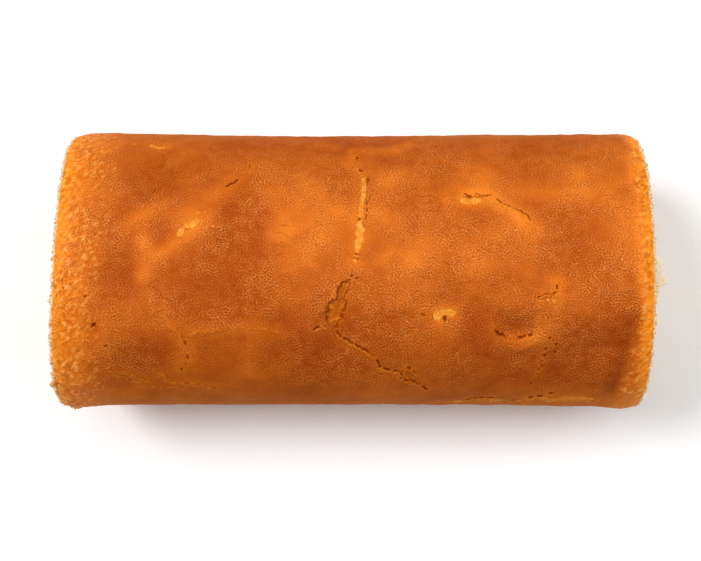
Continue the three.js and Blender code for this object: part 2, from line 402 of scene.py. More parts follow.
@dataclass(frozen=True)
class GoldenRims:
    """Gold towards the cut ends and round the cracks, the rims partly a painted warm reflection with painted
    highlights, and a tan painted warm reflection low on the sides.
    """

    golden: Colour = srgb(240, 126, 24)
    # Painted light at the rims: the gold band is partly a painted warm reflection, and its pale patches are
    # painted highlights.
    rim: Tint = Tint(srgb(255, 150, 20), 6.2, 2.6, 0.9)
    rim_highlight: Tint = Tint(srgb(255, 198, 112), 4.0, 0.6, 0.3)
    # Painted reflection: warm light thrown up onto the low sides, painted tan by height.
    low_warm_reflection: Tint = Tint(srgb(194, 118, 46), 72.0, 46.0)
    highlight_crest: Cloud = Cloud(1.5, 0.46, 0.66)
    stray_size: float = 6.0
    stray: float = 2.0
    golden_shares: Span = (0.45, 0.85)
    low_shares: Span = (0.38, 0.63)
    halo_shares: Span = (0.44, 0.8)

    def dress(self, paint: Paint, base: Wire, mottle: Wire) -> Wire:
        """Gild the crust.

        Args:
            paint: the crust's paint.
            base: the colour so far.
            mottle: soft mottling between 0 and 1.

        Returns:
            The new colour.
        """
        board = paint.board
        ragged = paint.read("from_end") + board.swing(paint.place, self.stray_size, 3.0) * self.stray
        rough = paint.read("rough") * board.between(self.golden_shares, mottle)
        base = board.blend(rough, base, self.golden)
        # partly a painted warm reflection on the rims
        base = paint.tinted(base, self.rim, ragged)
        # painted highlights in patches on the rims
        base = paint.tinted(base, self.rim_highlight, ragged, paint.clouds(self.highlight_crest))
        height = board.split(paint.place).side("Z")
        # painted warm reflection low on the sides
        base = paint.tinted(base, self.low_warm_reflection, height, board.between(self.low_shares, mottle))
        return board.blend(paint.read("halo") * board.between(self.halo_shares, mottle), base, self.golden)


@dataclass(frozen=True)
class Wrinkles:
    """Fine wrinkles of the baked skin, which run on the flat sheet, with stray curls and pinholes; crests
    painted lighter, partly as painted highlights, and valleys, curls and pinholes darker, partly as painted
    shade.
    """

    # Painted light and shade of the wrinkles: lighter on the strokes, partly painted highlights, and darker
    # between them, partly painted shade.
    light: Colour = srgb(252, 154, 72)
    light_share: float = 0.5
    dark: Colour = srgb(180, 72, 8)
    dark_share: float = 0.4
    spacing: float = 1.12
    run: float = 2.3
    shake_size: float = 1.6
    shake: float = 1.3
    stroke_edge: Span = (0.3, 0.7)
    stroke_rise: float = 0.6
    strong: Cloud = Cloud(17.0, 0.3, 0.65)
    strong_shares: Span = (0.4, 1.0)
    patch: Cloud = Cloud(3.2, 0.28, 0.62)
    patch_shares: Span = (0.35, 1.0)
    crown_shares: Span = (0.5, 1.0)
    curl_size: float = 4.5
    curl_shake: float = 0.9
    curl_edge: Span = (0.022, 0.006)
    curl_patch: Cloud = Cloud(13.0, 0.52, 0.66)
    curl_share: float = 0.14
    curl_sink: float = 0.4
    # Painted shade inside the pinholes.
    pinhole: Tint = Tint(srgb(112, 34, 0), 0.32, 0.1, 0.7)
    pinhole_spacing: float = 6.0
    dimple_size: float = 2.4
    dimple_rise: float = 0.5

    def dress(self, paint: Paint, base: Wire) -> tuple[Wire, Wire]:
        """Draw the wrinkles.

        Args:
            paint: the crust's paint.
            base: the colour so far.

        Returns:
            The new colour, and the wrinkles' height.
        """
        board = paint.board
        stroke = self._strokes(paint)
        amount = board.between(self.strong_shares, paint.clouds(self.strong))
        amount = amount * board.between(self.patch_shares, paint.clouds(self.patch))
        amount = amount * board.between(self.crown_shares, paint.read("crown"))
        # partly painted shade between the strokes, then partly painted highlights on them
        base = board.blend((1 - stroke) * amount * self.dark_share, base, self.dark)
        base = board.blend(stroke * amount * self.light_share, base, self.light)
        # the curls are painted darker, partly as shade in their creases
        curl = abs(board.noise(paint.place, self.curl_size, 0.0, self.curl_shake) - 0.5)
        curl = board.smooth(curl, *self.curl_edge) * paint.clouds(self.curl_patch)
        base = board.blend(curl * self.curl_share, base, self.dark)
        from_pinhole = board.cells(paint.place, self.pinhole_spacing) * self.pinhole_spacing
        dimples = board.noise(paint.place, self.dimple_size, 2.0) * self.dimple_rise
        height = stroke * amount * self.stroke_rise - curl * self.curl_sink + dimples
        # the pinholes are painted dark for the shade inside them
        return paint.tinted(base, self.pinhole, from_pinhole), height

    def _strokes(self, paint: Paint) -> Wire:
        """Short wavy strokes on the flat sheet.

        Args:
            paint: the crust's paint.

        Returns:
            Values from 0 between the strokes to 1 on them.
        """
        board = paint.board
        flat = board.join(X=board.split(paint.place), Y=paint.read("across"))
        shake = board.noise(flat, self.shake_size, 1.0).side("Color")
        shake = board.scaled(board.vector("SUBTRACT", shake, (0.5, 0.5, 0.5)), self.shake)
        sockets = {
            "Vector": board.vector("ADD", flat, shake),
            "Scale": 1 / self.run,
            "Frequency": self.run / self.spacing,
            "Anisotropy": 0.0,
        }
        strokes = board.node("ShaderNodeTexGabor", {"gabor_type": "2D"}, sockets)
        return board.smooth(strokes, *self.stroke_edge)


@dataclass(frozen=True)
class RoughLumps:
    """Lumps of the rough stretches at the ends: lighter on top with painted highlights on their crests, and
    brown between, partly as painted light and shade.
    """

    # Painted light and shade of the lumps: darker between them, lighter on them, and a painted highlight on
    # their crests.
    dark: Tint = Tint(srgb(196, 84, 8), 0.5, 0.36, 0.55)
    light: Tint = Tint(srgb(252, 156, 46), 0.5, 0.62, 0.6)
    highlight_crest: Tint = Tint(srgb(255, 196, 118), 0.58, 0.74, 0.55)
    grain_size: float = 1.1
    grain_shake: float = 0.5
    grain_share: float = 0.5
    patch: Cloud = Cloud(9.0, 0.3, 0.6, 2.0)
    patch_shares: Span = (0.4, 1.0)

    def dress(self, paint: Paint, base: Wire) -> tuple[Wire, Wire]:
        """Paint light and shade on the lumps.

        Args:
            paint: the crust's paint.
            base: the colour so far.

        Returns:
            The new colour, and the height of the grain on the lumps.
        """
        board = paint.board
        lump = paint.read("lump")
        grain = board.noise(paint.place, self.grain_size, 2.0, self.grain_shake)
        knobbly = lump + (grain - 0.5) * self.grain_share
        shown = paint.read("rough") * board.between(self.patch_shares, paint.clouds(self.patch))
        base = paint.tinted(base, self.dark, lump, shown)
        base = paint.tinted(base, self.light, knobbly, shown)
        return paint.tinted(base, self.highlight_crest, knobbly, shown), grain * shown


@dataclass(frozen=True)
class CrackColours:
    """Colours of the cracks' floors, edges and lips and of the torn fringe at the cut ends, with painted
    shade in the cracks and painted light on the lips.
    """

    # Painted shade: the dark floor of the narrow cracks.
    dark: Colour = srgb(112, 34, 0)
    ochre: Colour = srgb(182, 86, 12)
    pale: Colour = srgb(236, 146, 46)
    pale_crumb: Tint = Tint(srgb(236, 146, 46), 0.45, 0.75, 0.6)
    blond_crumb: Tint = Tint(srgb(250, 178, 80), 0.42, 0.68)
    crumb_size: float = 1.9
    crumb_swing: float = 0.5
    ochre_pales: Span = (0.0, 0.4)
    blond_pales: Span = (0.45, 1.0)
    floor_from: Span = (0.15, 0.8)
    # Painted light: the lip's golden colour stands for light on the side of the crack that faces it.
    lip: Colour = srgb(236, 132, 32)
    lip_share: float = 0.75
    # Painted shade along the cracks' edges.
    edge: Tint = Tint(srgb(136, 48, 0), 0.05, 0.3, 0.9)
    edge_until: Span = (0.95, 0.5)
    edge_pales: Span = (0.9, 0.4)
    broken: Cloud = Cloud(2.2, 0.34, 0.54)
    fringe: Tint = Tint(srgb(244, 220, 184), 1.1, 0.2, 0.85)
    torn_size: float = 1.6
    torn_swing: float = 0.8

    def dress(self, paint: Paint, base: Wire) -> Wire:
        """Colour the cracks and the fringe.

        Args:
            paint: the crust's paint.
            base: the colour so far.

        Returns:
            The new colour.
        """
        board = paint.board
        opening = paint.read("opening")
        pale = paint.read("pale")
        crumb = board.noise(paint.place, self.crumb_size, 2.0)
        # painted light on the lips
        base = board.blend(paint.read("lip") * self.lip_share, base, self.lip)
        ochre = paint.tinted(self.ochre, self.pale_crumb, crumb)
        blond = paint.tinted(self.pale, self.blond_crumb, crumb)
        # painted shade on the floors of the narrow cracks
        floor = board.blend(board.smooth(pale, *self.ochre_pales), self.dark, ochre)
        floor = board.blend(board.smooth(pale, *self.blond_pales), floor, blond)
        shown = board.smooth(opening + (crumb - 0.5) * self.crumb_swing * pale, *self.floor_from)
        base = board.blend(shown * paint.read("ink"), base, floor)
        # painted shade along the edges of the cracks
        inside = board.smooth(opening, *self.edge_until) * paint.clouds(self.broken)
        base = paint.tinted(base, self.edge, opening, inside * board.smooth(pale, *self.edge_pales))
        torn = paint.read("from_end") + board.swing(paint.place, self.torn_size, 2.0) * self.torn_swing
        return paint.tinted(base, self.fringe, torn)


@dataclass(frozen=True)
class CrustFinish:
    """Browned crust: orange on swells and browner in hollows, partly painted shade, finely wrinkled, golden
    at cracks and rims, with painted shade down its sides.
    """

    face: BakedFace = BakedFace()
    rims: GoldenRims = GoldenRims()
    wrinkles: Wrinkles = Wrinkles()
    lumps: RoughLumps = RoughLumps()
    cracks: CrackColours = CrackColours()
    # Painted shade: the front and back sides are multiplied by this colour, darker and less blue.
    flank: Colour = srgb(230, 227, 196)
    roughness: float = 0.78
    wrinkle_gloss: float = 0.2
    rim_coat: float = 0.14
    bump_depth: float = 0.42

    def material(self) -> bpy.types.Material:
        """Make the crust's material.

        Returns:
            The material.
        """
        paint = Paint("browned_crust")
        mottle = paint.clouds(self.face.mottle)
        base = self.rims.dress(paint, self.face.dress(paint, mottle), mottle)
        base, wrinkles = self.wrinkles.dress(paint, base)
        base, lumps = self.lumps.dress(paint, base)
        base = self.cracks.dress(paint, base)
        return paint.finish(
            # painted shade down the front and back sides
            Base_Color=paint.board.blend(paint.read("flank"), base, self.flank, "MULTIPLY"),
            Roughness=self.roughness - wrinkles * self.wrinkle_gloss,
            Specular_IOR_Level=0.02,
            Coat_Weight=paint.read("rough") * self.rim_coat,
            Coat_Roughness=0.36,
            Coat_IOR=1.4,
            Normal=paint.bump(wrinkles + lumps, self.bump_depth),
        )


@dataclass(frozen=True)
class CrumbFinish:
    """Cut sponge: pale yellow and full of pores, with the thin brown line of the baked face."""

    crumb: Colour = srgb(255, 214, 138)
    shade: Colour = srgb(234, 164, 80)
    cloud: Cloud = Cloud(7.0, 0.3, 0.7, 4.0)
    cloud_share: float = 0.35
    pore_share: float = 0.35
    pore_sink: float = 0.4
    skin: Tint = Tint(srgb(176, 96, 30), 1.1, 0.35)
    skin_stray_size: float = 1.8
    skin_stray: float = 0.35
    skin_shares: Span = (0.35, 0.85)
    outer_shares: Span = (0.15, 0.2)
    grain_size: float = 0.7
    grain_share: float = 0.25
    grain_rise: float = 0.7
    lump_size: float = 1.7
    lump_rise: float = 0.6
    bump_depth: float = 0.5

    def material(self) -> bpy.types.Material:
        """Make the cut sponge's material.

        Returns:
            The material.
        """
        paint = Paint("cut_sponge")
        board = paint.board
        pore = paint.read("pore")
        # the pores are painted darker as the shade inside them; the clouds are random tone
        shaded = (1 - paint.clouds(self.cloud)) * self.cloud_share + pore * self.pore_share
        base = board.blend(shaded, self.crumb, self.shade)
        stray = board.swing(paint.place, self.skin_stray_size, 2.0) * self.skin_stray
        browned = board.between(self.skin_shares, board.smooth(paint.read("share"), *self.outer_shares))
        base = paint.tinted(base, self.skin, paint.read("inward") + stray, browned)
        grain = board.noise(paint.place, self.grain_size, 3.0)
        base = board.blend((1 - grain) * self.grain_share, base, self.shade)
        lumps = board.noise(paint.place, self.lump_size, 2.0)
        height = grain * self.grain_rise + lumps * self.lump_rise - pore * self.pore_sink
        return paint.finish(
            Base_Color=base,
            Roughness=0.85,
            Specular_IOR_Level=0.25,
            Subsurface_Weight=0.25,
            Subsurface_Radius=(1.0, 0.6, 0.3),
            Subsurface_Scale=1.5 * MM,
            Normal=paint.bump(height, self.bump_depth),
        )


@dataclass(frozen=True)
class CreamFinish:
    """Whipped cream: ivory white, soft and faintly glossy, with small air holes, and painted shade in its
    low places and holes.
    """

    white: Colour = srgb(255, 238, 212)
    # Painted shade: the cream darkens to this colour where its surface is low and in its air holes.
    hollow: Colour = srgb(244, 210, 166)
    cloud_size: float = 5.0
    cloud_edge: Span = (0.6, 0.3)
    cloud_share: float = 0.5
    cloud_rise: float = 0.6
    hole_spacing: float = 1.6
    hole_edge: Span = (0.26, 0.1)
    hole_share: float = 0.35
    hole_sink: float = 0.5
    lump_size: float = 1.1
    lump_rise: float = 0.25
    bump_depth: float = 0.45

    def material(self) -> bpy.types.Material:
        """Make the cream's material.

        Returns:
            The material.
        """
        paint = Paint("whipped_cream")
        board = paint.board
        cloud = board.noise(paint.place, self.cloud_size, 3.0)
        holes = board.smooth(board.cells(paint.place, self.hole_spacing), *self.hole_edge)
        # painted shade in the low places and air holes
        shaded = board.smooth(cloud, *self.cloud_edge) * self.cloud_share + holes * self.hole_share
        lumps = board.noise(paint.place, self.lump_size, 2.0)
        height = cloud * self.cloud_rise + lumps * self.lump_rise - holes * self.hole_sink
        return paint.finish(
            Base_Color=board.blend(shaded, self.white, self.hollow),
            Roughness=0.42,
            Specular_IOR_Level=0.4,
            Subsurface_Weight=0.15,
            Subsurface_Radius=(1.0, 0.75, 0.5),
            Subsurface_Scale=1.5 * MM,
            Normal=paint.bump(height, self.bump_depth),
        )


@dataclass(frozen=True)
class LooseCrumbFinish:
    """Loose crumbs: dry, from pale to toasted."""

    pale: Colour = srgb(238, 208, 164)
    toasted: Colour = srgb(216, 150, 80)
    toast: Cloud = Cloud(2.5, 0.45, 0.7, 2.0)
    grain_size: float = 0.35
    bump_depth: float = 0.15

    def material(self) -> bpy.types.Material:
        """Make the crumbs' material.

        Returns:
            The material.
        """
        paint = Paint("loose_crumb")
        grain = paint.board.noise(paint.place, self.grain_size, 2.0)
        return paint.finish(
            Base_Color=paint.board.blend(paint.clouds(self.toast), self.pale, self.toasted),
            Roughness=0.9,
            Specular_IOR_Level=0.2,
            Normal=paint.bump(grain, self.bump_depth),
        )


@dataclass(frozen=True)
class FloorFinish:
    """Plain pale floor, a touch uneven in tone."""

    pale: Colour = srgb(252, 252, 252)
    soft: Colour = srgb(249, 249, 250)
    cloud_size: float = 300.0

    def material(self) -> bpy.types.Material:
        """Make the floor's material.

        Returns:
            The material.
        """
        paint = Paint("pale_floor")
        cloud = paint.board.noise(paint.place, self.cloud_size, 2.0)
        base = paint.board.blend(cloud, self.pale, self.soft)
        return paint.finish(Base_Color=base, Roughness=0.8, Specular_IOR_Level=0.2)


@dataclass(frozen=True)
class Swell:
    """A soft swell of the crust, or a hollow where its height is negative."""

    along: float
    lean: float
    spread: float
    height: float


@dataclass(frozen=True)
class CrackLook:
    """How one kind of crack is shaped and coloured."""

    depth: float
    pale: float
    soft: float
    broken: float
    lip: float
    ink: float
    least_gape: float = 0.0


class CrackKind(Enum):
    """Kinds of cracks and marks. A negative depth stands proud of the crust."""

    SPLIT = CrackLook(depth=0.4, pale=1.0, soft=1.1, broken=0.1, lip=0.0, ink=0.8)
    OPENING = CrackLook(depth=1.1, pale=0.5, soft=0.25, broken=0.0, lip=0.3, ink=0.9)
    TEAR = CrackLook(depth=0.6, pale=0.84, soft=0.5, broken=0.25, lip=0.0, ink=0.95)
    LINE = CrackLook(depth=0.8, pale=0.0, soft=0.14, broken=0.7, lip=0.9, ink=0.85, least_gape=0.06)
    HAIRLINE = CrackLook(depth=0.4, pale=0.0, soft=0.12, broken=0.8, lip=0.4, ink=0.42)
    CREASE = CrackLook(depth=-0.25, pale=0.75, soft=0.5, broken=0.55, lip=0.0, ink=0.28)
    FLAP = CrackLook(depth=0.7, pale=0.45, soft=0.5, broken=0.0, lip=0.6, ink=0.6)
    # The folded kind's paleness is partly painted light on a lit fold.
    FOLDED = CrackLook(depth=-0.4, pale=0.88, soft=1.7, broken=0.35, lip=0.0, ink=0.52)
    WORN = CrackLook(depth=0.3, pale=0.0, soft=0.2, broken=0.75, lip=1.0, ink=0.35)
    FINE = CrackLook(depth=0.35, pale=0.0, soft=0.14, broken=0.35, lip=1.0, ink=0.4)
    FRAYED = CrackLook(depth=-0.3, pale=0.62, soft=0.3, broken=0.6, lip=0.8, ink=0.6)
    PIT = CrackLook(depth=0.8, pale=0.0, soft=0.2, broken=0.0, lip=0.2, ink=0.85)
    BEAD = CrackLook(depth=-0.5, pale=1.0, soft=0.25, broken=0.0, lip=0.0, ink=0.85)


@dataclass(frozen=True)
class Crack:
    """A crack: its kind, the golden halo round it, and a path of (along, lean, half width) spots."""

    name: str
    kind: CrackKind
    halo: float
    path: tuple[tuple[float, float, float], ...]


@dataclass(frozen=True)
class Fold:
    """A fold of the crust along a path of (along, lean) spots, which drops away on its back side."""

    drop: float
    reach: float
    path: Path


@dataclass(frozen=True)
class Ridge:
    """A long soft ridge along a path of (along, lean) spots, or a valley where its height is negative."""

    height: float
    spread: float
    path: Path


SWELLS = tuple(Swell(*row) for row in (
    (-53, -19, 13, 0.8), (-41, -10, 12, -1.3), (-20, -25, 17, 0.8), (2, -18, 8, 0.4), (-7, 42, 12, -2.0),
    (31, -10, 17, 0.15), (59, 34, 7, -1.8), (82, -27, 11, 0.45), (70, -26, 7, 0.4), (-79, 50, 11, -1),
    (-86, 9, 9, -1.1), (-4, -88, 70, -0.8), (-90, -80, 30, 0.4), (-4, 88, 70, -0.2), (88, 86, 24, 0.5),
    (106, 82, 9, 1.4), (-110, 82, 9, 1.2), (-71, -10, 5, -0.8), (-46, -20, 6, -0.9), (-42, -28, 7, -0.7),
    (-42, 12, 16, -0.7), (-25, 40, 10, -0.4), (-30, 33, 6, -0.6), (-62, 15, 10, -0.45), (-53, 41, 7, -0.4),
    (-46, 60, 10, 0.4), (-78, 11, 4, 1.1), (-84, 31, 8, 0.6), (-66, 50, 5, 0.5), (-81, -49, 6, 0.5),
    (-51, -29, 4, 0.6), (-79, -4, 6, 0.6), (-81, -37, 10, -0.6), (-90, -48, 6, -0.5), (-73, -27, 5, -0.8),
    (-88, -13, 6, -0.6), (-90, 21, 7, -0.9), (-96, 34, 3, -0.9), (-30, -12, 8, 0.75), (-23, 5, 9, 0.6),
    (-11, -4, 9, 0.7), (-4, -18, 6, 0.5), (-2, -48, 6, 0.4), (-34, -47, 8, 0.5), (-10, -31, 8, 0.4),
    (8, -17, 7, 0.3), (18, -32, 8, 0.5), (21, 8, 10, 0.4), (11, -35, 10, 0.9), (13, -5, 12, 0.6),
    (49, -39, 13, 0.7), (46, 0, 9, 0.6), (57, -11, 5, 0.5), (65, -5, 6, 0.55), (45, -19, 5, -0.5),
    (44, -33, 6, 0.4), (26, -26, 6, 0.4), (53, -56, 9, -0.15), (59, 24, 6, 0.6), (73, 20, 4, 0.4),
    (79, -14, 9, -0.8), (77, 4, 7, -0.2), (74, -52, 10, -0.4), (83, 28, 7, 0.3), (97, -30, 15, 0.45),
    (97, -55, 8, 0.5), (101, -2, 10, 0.9), (68, 36, 5, 0.8), (90, 8, 9, -0.6), (36, 20, 6, -0.6),
    (35, 33, 5, 0.8), (43, 30, 7, -0.8), (10, 62, 12, 0.15), (43, 46, 10, -0.4), (61, 53, 9, -0.5),
    (93, 44, 13, -2.5), (80, 51, 12, -1.5),
))

RIDGES = (
    Ridge(0.6, 3.4, ((-42, -38), (-49.6, -19), (-57.5, -10.5), (-68.5, -1.5), (-75, 4), (-77, 16))),
    Ridge(0.6, 2.6, ((-68, -28), (-76.6, -18.4), (-86, -11))),
    Ridge(0.9, 3.2, ((-77, -16), (-75, 5))),
    Ridge(1.5, 3.2, ((36, -28), (48.6, -26.5), (56, -21.5), (62.5, -15), (66, -9))),
    Ridge(1.2, 2.4, ((51, 38), (57, 41.3), (60.5, 41.6), (64, 39.8), (70, 35))),
    Ridge(0.35, 2.4, ((-66, 36), (-45.4, 33.8), (-24, 36))),
    Ridge(0.9, 5.0, ((-103, -55), (-103, -10), (-102.5, 20), (-103, 45), (-102, 70))),
    Ridge(0.8, 2.5, ((104, -55), (105, -20), (106, 20))),
    Ridge(0.9, 2.2, ((106, 5), (106.1, 33.8), (106, 45.3), (105.4, 55.6), (104, 72))),
    Ridge(-2.0, 3.4, ((101.2, 24), (102, 33.8), (102, 42.9), (101.7, 50.2), (100.6, 58.6), (98.6, 76))),
)

FOLDS = (
    Fold(1.3, 5.5, (
        (51.9, 34.7), (53.5, 36.5), (56.8, 38.3), (59.8, 38.7), (62.3, 37.4), (65.2, 36), (66.6, 35.2))),
)

CRACKS = tuple(Crack(*row) for row in (
    ("long split", CrackKind.SPLIT, 0.6, (
        (3.9, -36.5, 0.3), (3.9, -33, 0.9), (3.5, -28, 0.8), (3, -23.5, 0.35), (2.7, -19, 0.5),
        (2.3, -14, 1), (2, -9, 1.2), (1.7, -5, 1), (1.2, -1.5, 0.5), (0.5, 3, 0.25))),
    ("head of the split", CrackKind.CREASE, 0.6, (
        (0.3, -53, 0.4), (-0.6, -46, 0.5), (1.5, -41, 0.6), (3.6, -37.5, 0.4))),
    ("edge of the split", CrackKind.HAIRLINE, 0.0, (
        (5.1, -36, 0.12), (5.3, -30, 0.14), (4.7, -22, 0.14), (4, -14, 0.12))),
    ("opening", CrackKind.OPENING, 0.4, (
        (-1.8, 12.2, 0.5), (-3.3, 14, 1.7), (-4.1, 16.2, 2.2), (-4.6, 18.6, 1.4), (-5.3, 21.5, 2.3),
        (-6.6, 25, 3.8), (-7.9, 28.6, 4.3), (-8.2, 31.2, 3))),
    ("front crack", CrackKind.LINE, 0.25, (
        (-6.1, 35.6, 0.3), (-5.5, 37.4, 0.3), (-3.3, 39.2, 0.25), (-1.5, 40.8, 0.22), (1.4, 42, 0.22),
        (3.1, 43.1, 0.22), (6.4, 45.7, 0.22), (8.1, 47.5, 0.25), (9.2, 50.2, 0.28), (9.6, 51.8, 0.3),
        (11.9, 52.9, 0.3), (14.5, 53.7, 0.3), (16.8, 54.4, 0.35), (17.6, 57.4, 0.35), (20.2, 59.4, 0.35),
        (24.3, 61.8, 0.35), (27.7, 65, 0.3))),
    ("left tail", CrackKind.LINE, 0.2, (
        (-15, 34.3, 0.2), (-13.2, 33.4, 0.22), (-12.1, 32.3, 0.25), (-10.3, 33.4, 0.22))),
    ("lifted flap", CrackKind.FLAP, 0.5, (
        (16.5, 54, 0.4), (18.6, 55, 1.3), (20.6, 56.4, 1.9), (22.6, 58.6, 1.4), (24.4, 60.6, 0.4))),
    ("edge of the flap", CrackKind.HAIRLINE, 0.3, (
        (19.6, 51.4, 0.25), (21.4, 52.2, 0.3), (23, 54.9, 0.3), (24.6, 57.8, 0.25))),
    ("arc, left", CrackKind.HAIRLINE, 0.2, ((32.9, -26.8, 0.2), (34.9, -26.3, 0.2))),
    ("arc, middle", CrackKind.LINE, 0.4, ((40.7, -27.6, 0.28), (42.7, -26.1, 0.28))),
    ("arc, long", CrackKind.FINE, 0.4, ((44.6, -27.3, 0.26), (47.5, -26.2, 0.3), (50.4, -26.3, 0.26))),
    ("arc, right", CrackKind.FINE, 0.3, (
        (51.8, -25.1, 0.2), (54.3, -22.7, 0.22), (57.2, -21.6, 0.18), (59.7, -19.8, 0.22),
        (61.2, -19, 0.18), (63.3, -17.4, 0.22), (64.3, -15.1, 0.2))),
    ("arc glow", CrackKind.CREASE, 0.8, ((62.5, -13.7, 0.3), (65.7, -10.9, 0.3))),
    ("arc patch", CrackKind.SPLIT, 0.7, ((40.1, -24.9, 0.5), (42.6, -24.6, 0.8), (46.3, -24.9, 0.5))),
    ("pit patch", CrackKind.SPLIT, 0.9, ((29.6, 27.6, 0.8), (32.6, 27, 1.3), (36, 26.6, 0.9))),
    ("pit cleft", CrackKind.PIT, 0.9, ((33, 27.6, 0.35), (33.2, 29.6, 0.4))),
    ("pit crease", CrackKind.HAIRLINE, 0.3, ((24, 26.8, 0.2), (26, 27.2, 0.2), (28, 27.9, 0.2))),
    ("corner crack", CrackKind.FLAP, 0.7, ((67.4, 19.5, 0.3), (69.4, 18.9, 0.45), (72.3, 18.1, 0.4))),
    ("corner crack, top", CrackKind.LINE, 0.7, (
        (72.6, 17.8, 0.3), (73.6, 16, 0.3), (73.7, 13.2, 0.24))),
    ("lip", CrackKind.PIT, 0.5, ((51.9, 34.7, 0.2), (53.5, 36.5, 0.22), (55.6, 37.8, 0.2))),
    ("lip, right", CrackKind.LINE, 0.4, (
        (56.8, 38.3, 0.25), (59.8, 38.7, 0.2), (62.3, 37.4, 0.2), (65.2, 36, 0.2))),
    ("front tear", CrackKind.TEAR, 0.5, (
        (29, 82.5, 0.4), (33, 81, 1.3), (36, 81.4, 0.7), (41, 79, 2.6), (44, 79, 1.2), (47, 77, 3),
        (51, 76.6, 2), (54, 77, 3.2), (58, 77.8, 1.4), (62, 77.2, 2.6), (66, 76.4, 1.4), (69, 74.4, 3),
        (72, 74, 2), (73.5, 73.4, 1))),
    ("tear edge, left", CrackKind.LINE, 0.3, (
        (43.5, 74.6, 0.3), (46.5, 73.6, 0.35), (50.4, 72.4, 0.35), (53.4, 72.8, 0.3))),
    ("tear edge, right", CrackKind.LINE, 0.3, (
        (61, 75, 0.3), (64.4, 74, 0.35), (67, 72.2, 0.45), (70.4, 70.9, 0.5), (73.4, 70, 0.4),
        (75.6, 68, 0.3))),
    ("low fold", CrackKind.FOLDED, 0.4, (
        (75.3, 75, 1.0), (79, 74, 1.3), (84.4, 73, 1.3), (90.2, 73.4, 1.2), (94.5, 76, 0.7))),
    ("dashes", CrackKind.WORN, 0.3, ((70.2, 47, 0.2), (69.5, 51.8, 0.25), (67.5, 57.4, 0.2))),
    ("fork", CrackKind.WORN, 0.3, ((-69, 29.4, 0.2), (-66, 33, 0.2), (-63.1, 36.9, 0.24))),
    ("stem of the fork", CrackKind.HAIRLINE, 0.35, (
        (-62.8, 37.6, 0.2), (-61.3, 41, 0.22), (-61.3, 45.3, 0.26), (-62.6, 49.5, 0.2), (-65, 53.9, 0.2))),
    ("crease right of the fork", CrackKind.CREASE, 0.3, (
        (-63, 36.9, 0.25), (-57.2, 35.2, 0.3), (-39.9, 32.9, 0.2), (-27.1, 35.6, 0.2))),
    ("low crease, left", CrackKind.FRAYED, 0.3, (
        (-92.5, 51, 0.3), (-88.5, 54, 0.4), (-85.6, 54.6, 0.4), (-81.8, 57.7, 0.5), (-77.5, 59.5, 0.4))),
    ("low crease, right", CrackKind.FRAYED, 0.3, (
        (-73.4, 56, 0.3), (-71.6, 55.4, 0.4), (-70.4, 58.8, 0.5), (-66.3, 60.4, 0.5), (-61.1, 60.6, 0.45),
        (-56, 62.4, 0.4), (-52.3, 63.9, 0.3))),
    ("low crest", CrackKind.CREASE, 0.25, (
        (-90, 56, 0.6), (-84, 60, 0.7), (-76, 63, 0.6), (-66, 64, 0.5))),
    ("low scratch", CrackKind.CREASE, 0.3, ((4.5, 71.5, 0.3), (9, 70, 0.35), (13.2, 70.2, 0.3))),
    ("low streaks", CrackKind.CREASE, 0.4, ((-92.1, 66.2, 0.4), (-82.3, 71.8, 0.4))),
    ("pale nick", CrackKind.SPLIT, 0.35, (
        (-64.4, -8.2, 0.3), (-62.6, -10.6, 0.8), (-60.4, -12.8, 1.2), (-57.8, -15, 0.6))),
    ("slit", CrackKind.PIT, 0.25, ((-43.4, -35.6, 0.2), (-45, -34, 0.3), (-47.2, -31.8, 0.22))),
    ("hook", CrackKind.FINE, 0.2, ((-38.3, -43.7, 0.2), (-39, -42.5, 0.22), (-39.1, -40.7, 0.2))),
    ("back crease", CrackKind.CREASE, 0.4, (
        (-70.5, -25.9, 0.2), (-72, -22.9, 0.25), (-75.3, -20.5, 0.22), (-77.1, -19.5, 0.2),
        (-79.2, -15.6, 0.25), (-81.4, -13.7, 0.2), (-84.7, -12.1, 0.2))),
    ("short crease", CrackKind.CREASE, 0.3, (
        (-67.5, -47.4, 0.2), (-64.7, -50.1, 0.25), (-62.3, -53, 0.2))),
    ("back nick", CrackKind.SPLIT, 0.5, (
        (-77.4, -57.9, 0.25), (-74.8, -56.2, 0.35), (-72.9, -56.2, 0.25))),
    ("left crest", CrackKind.CREASE, 0.5, ((-96.3, -54, 0.3), (-91.4, -58.4, 0.3))),
    ("scar", CrackKind.CREASE, 0.6, (
        (3.4, -53.7, 0.3), (7.9, -53.7, 0.35), (12.9, -53.7, 0.35), (16.7, -55.3, 0.3),
        (20.3, -58.9, 0.25))),
    ("scar, left", CrackKind.CREASE, 0.4, ((-12.3, -59.9, 0.25), (-7.7, -57, 0.25))),
    ("loop", CrackKind.CREASE, 0.3, (
        (38.4, -17.9, 0.2), (38.7, -13.2, 0.22), (36.1, -8.6, 0.22), (34.5, -1.7, 0.2))),
    ("left notch", CrackKind.PIT, 0.0, ((-94.8, 31.2, 0.8), (-96, 32.6, 0.35))),
    ("left notch, tail", CrackKind.HAIRLINE, 0.0, (
        (-96.2, 32.8, 0.4), (-96.9, 34.7, 0.4), (-97.6, 37.4, 0.3))),
    ("end nick", CrackKind.HAIRLINE, 0.0, ((-106.2, 11, 0.5), (-105.6, 15, 0.35))),
    ("end nick, back", CrackKind.HAIRLINE, 0.0, ((-94.9, -9.8, 0.4), (-94.8, -7.4, 0.4))),
))

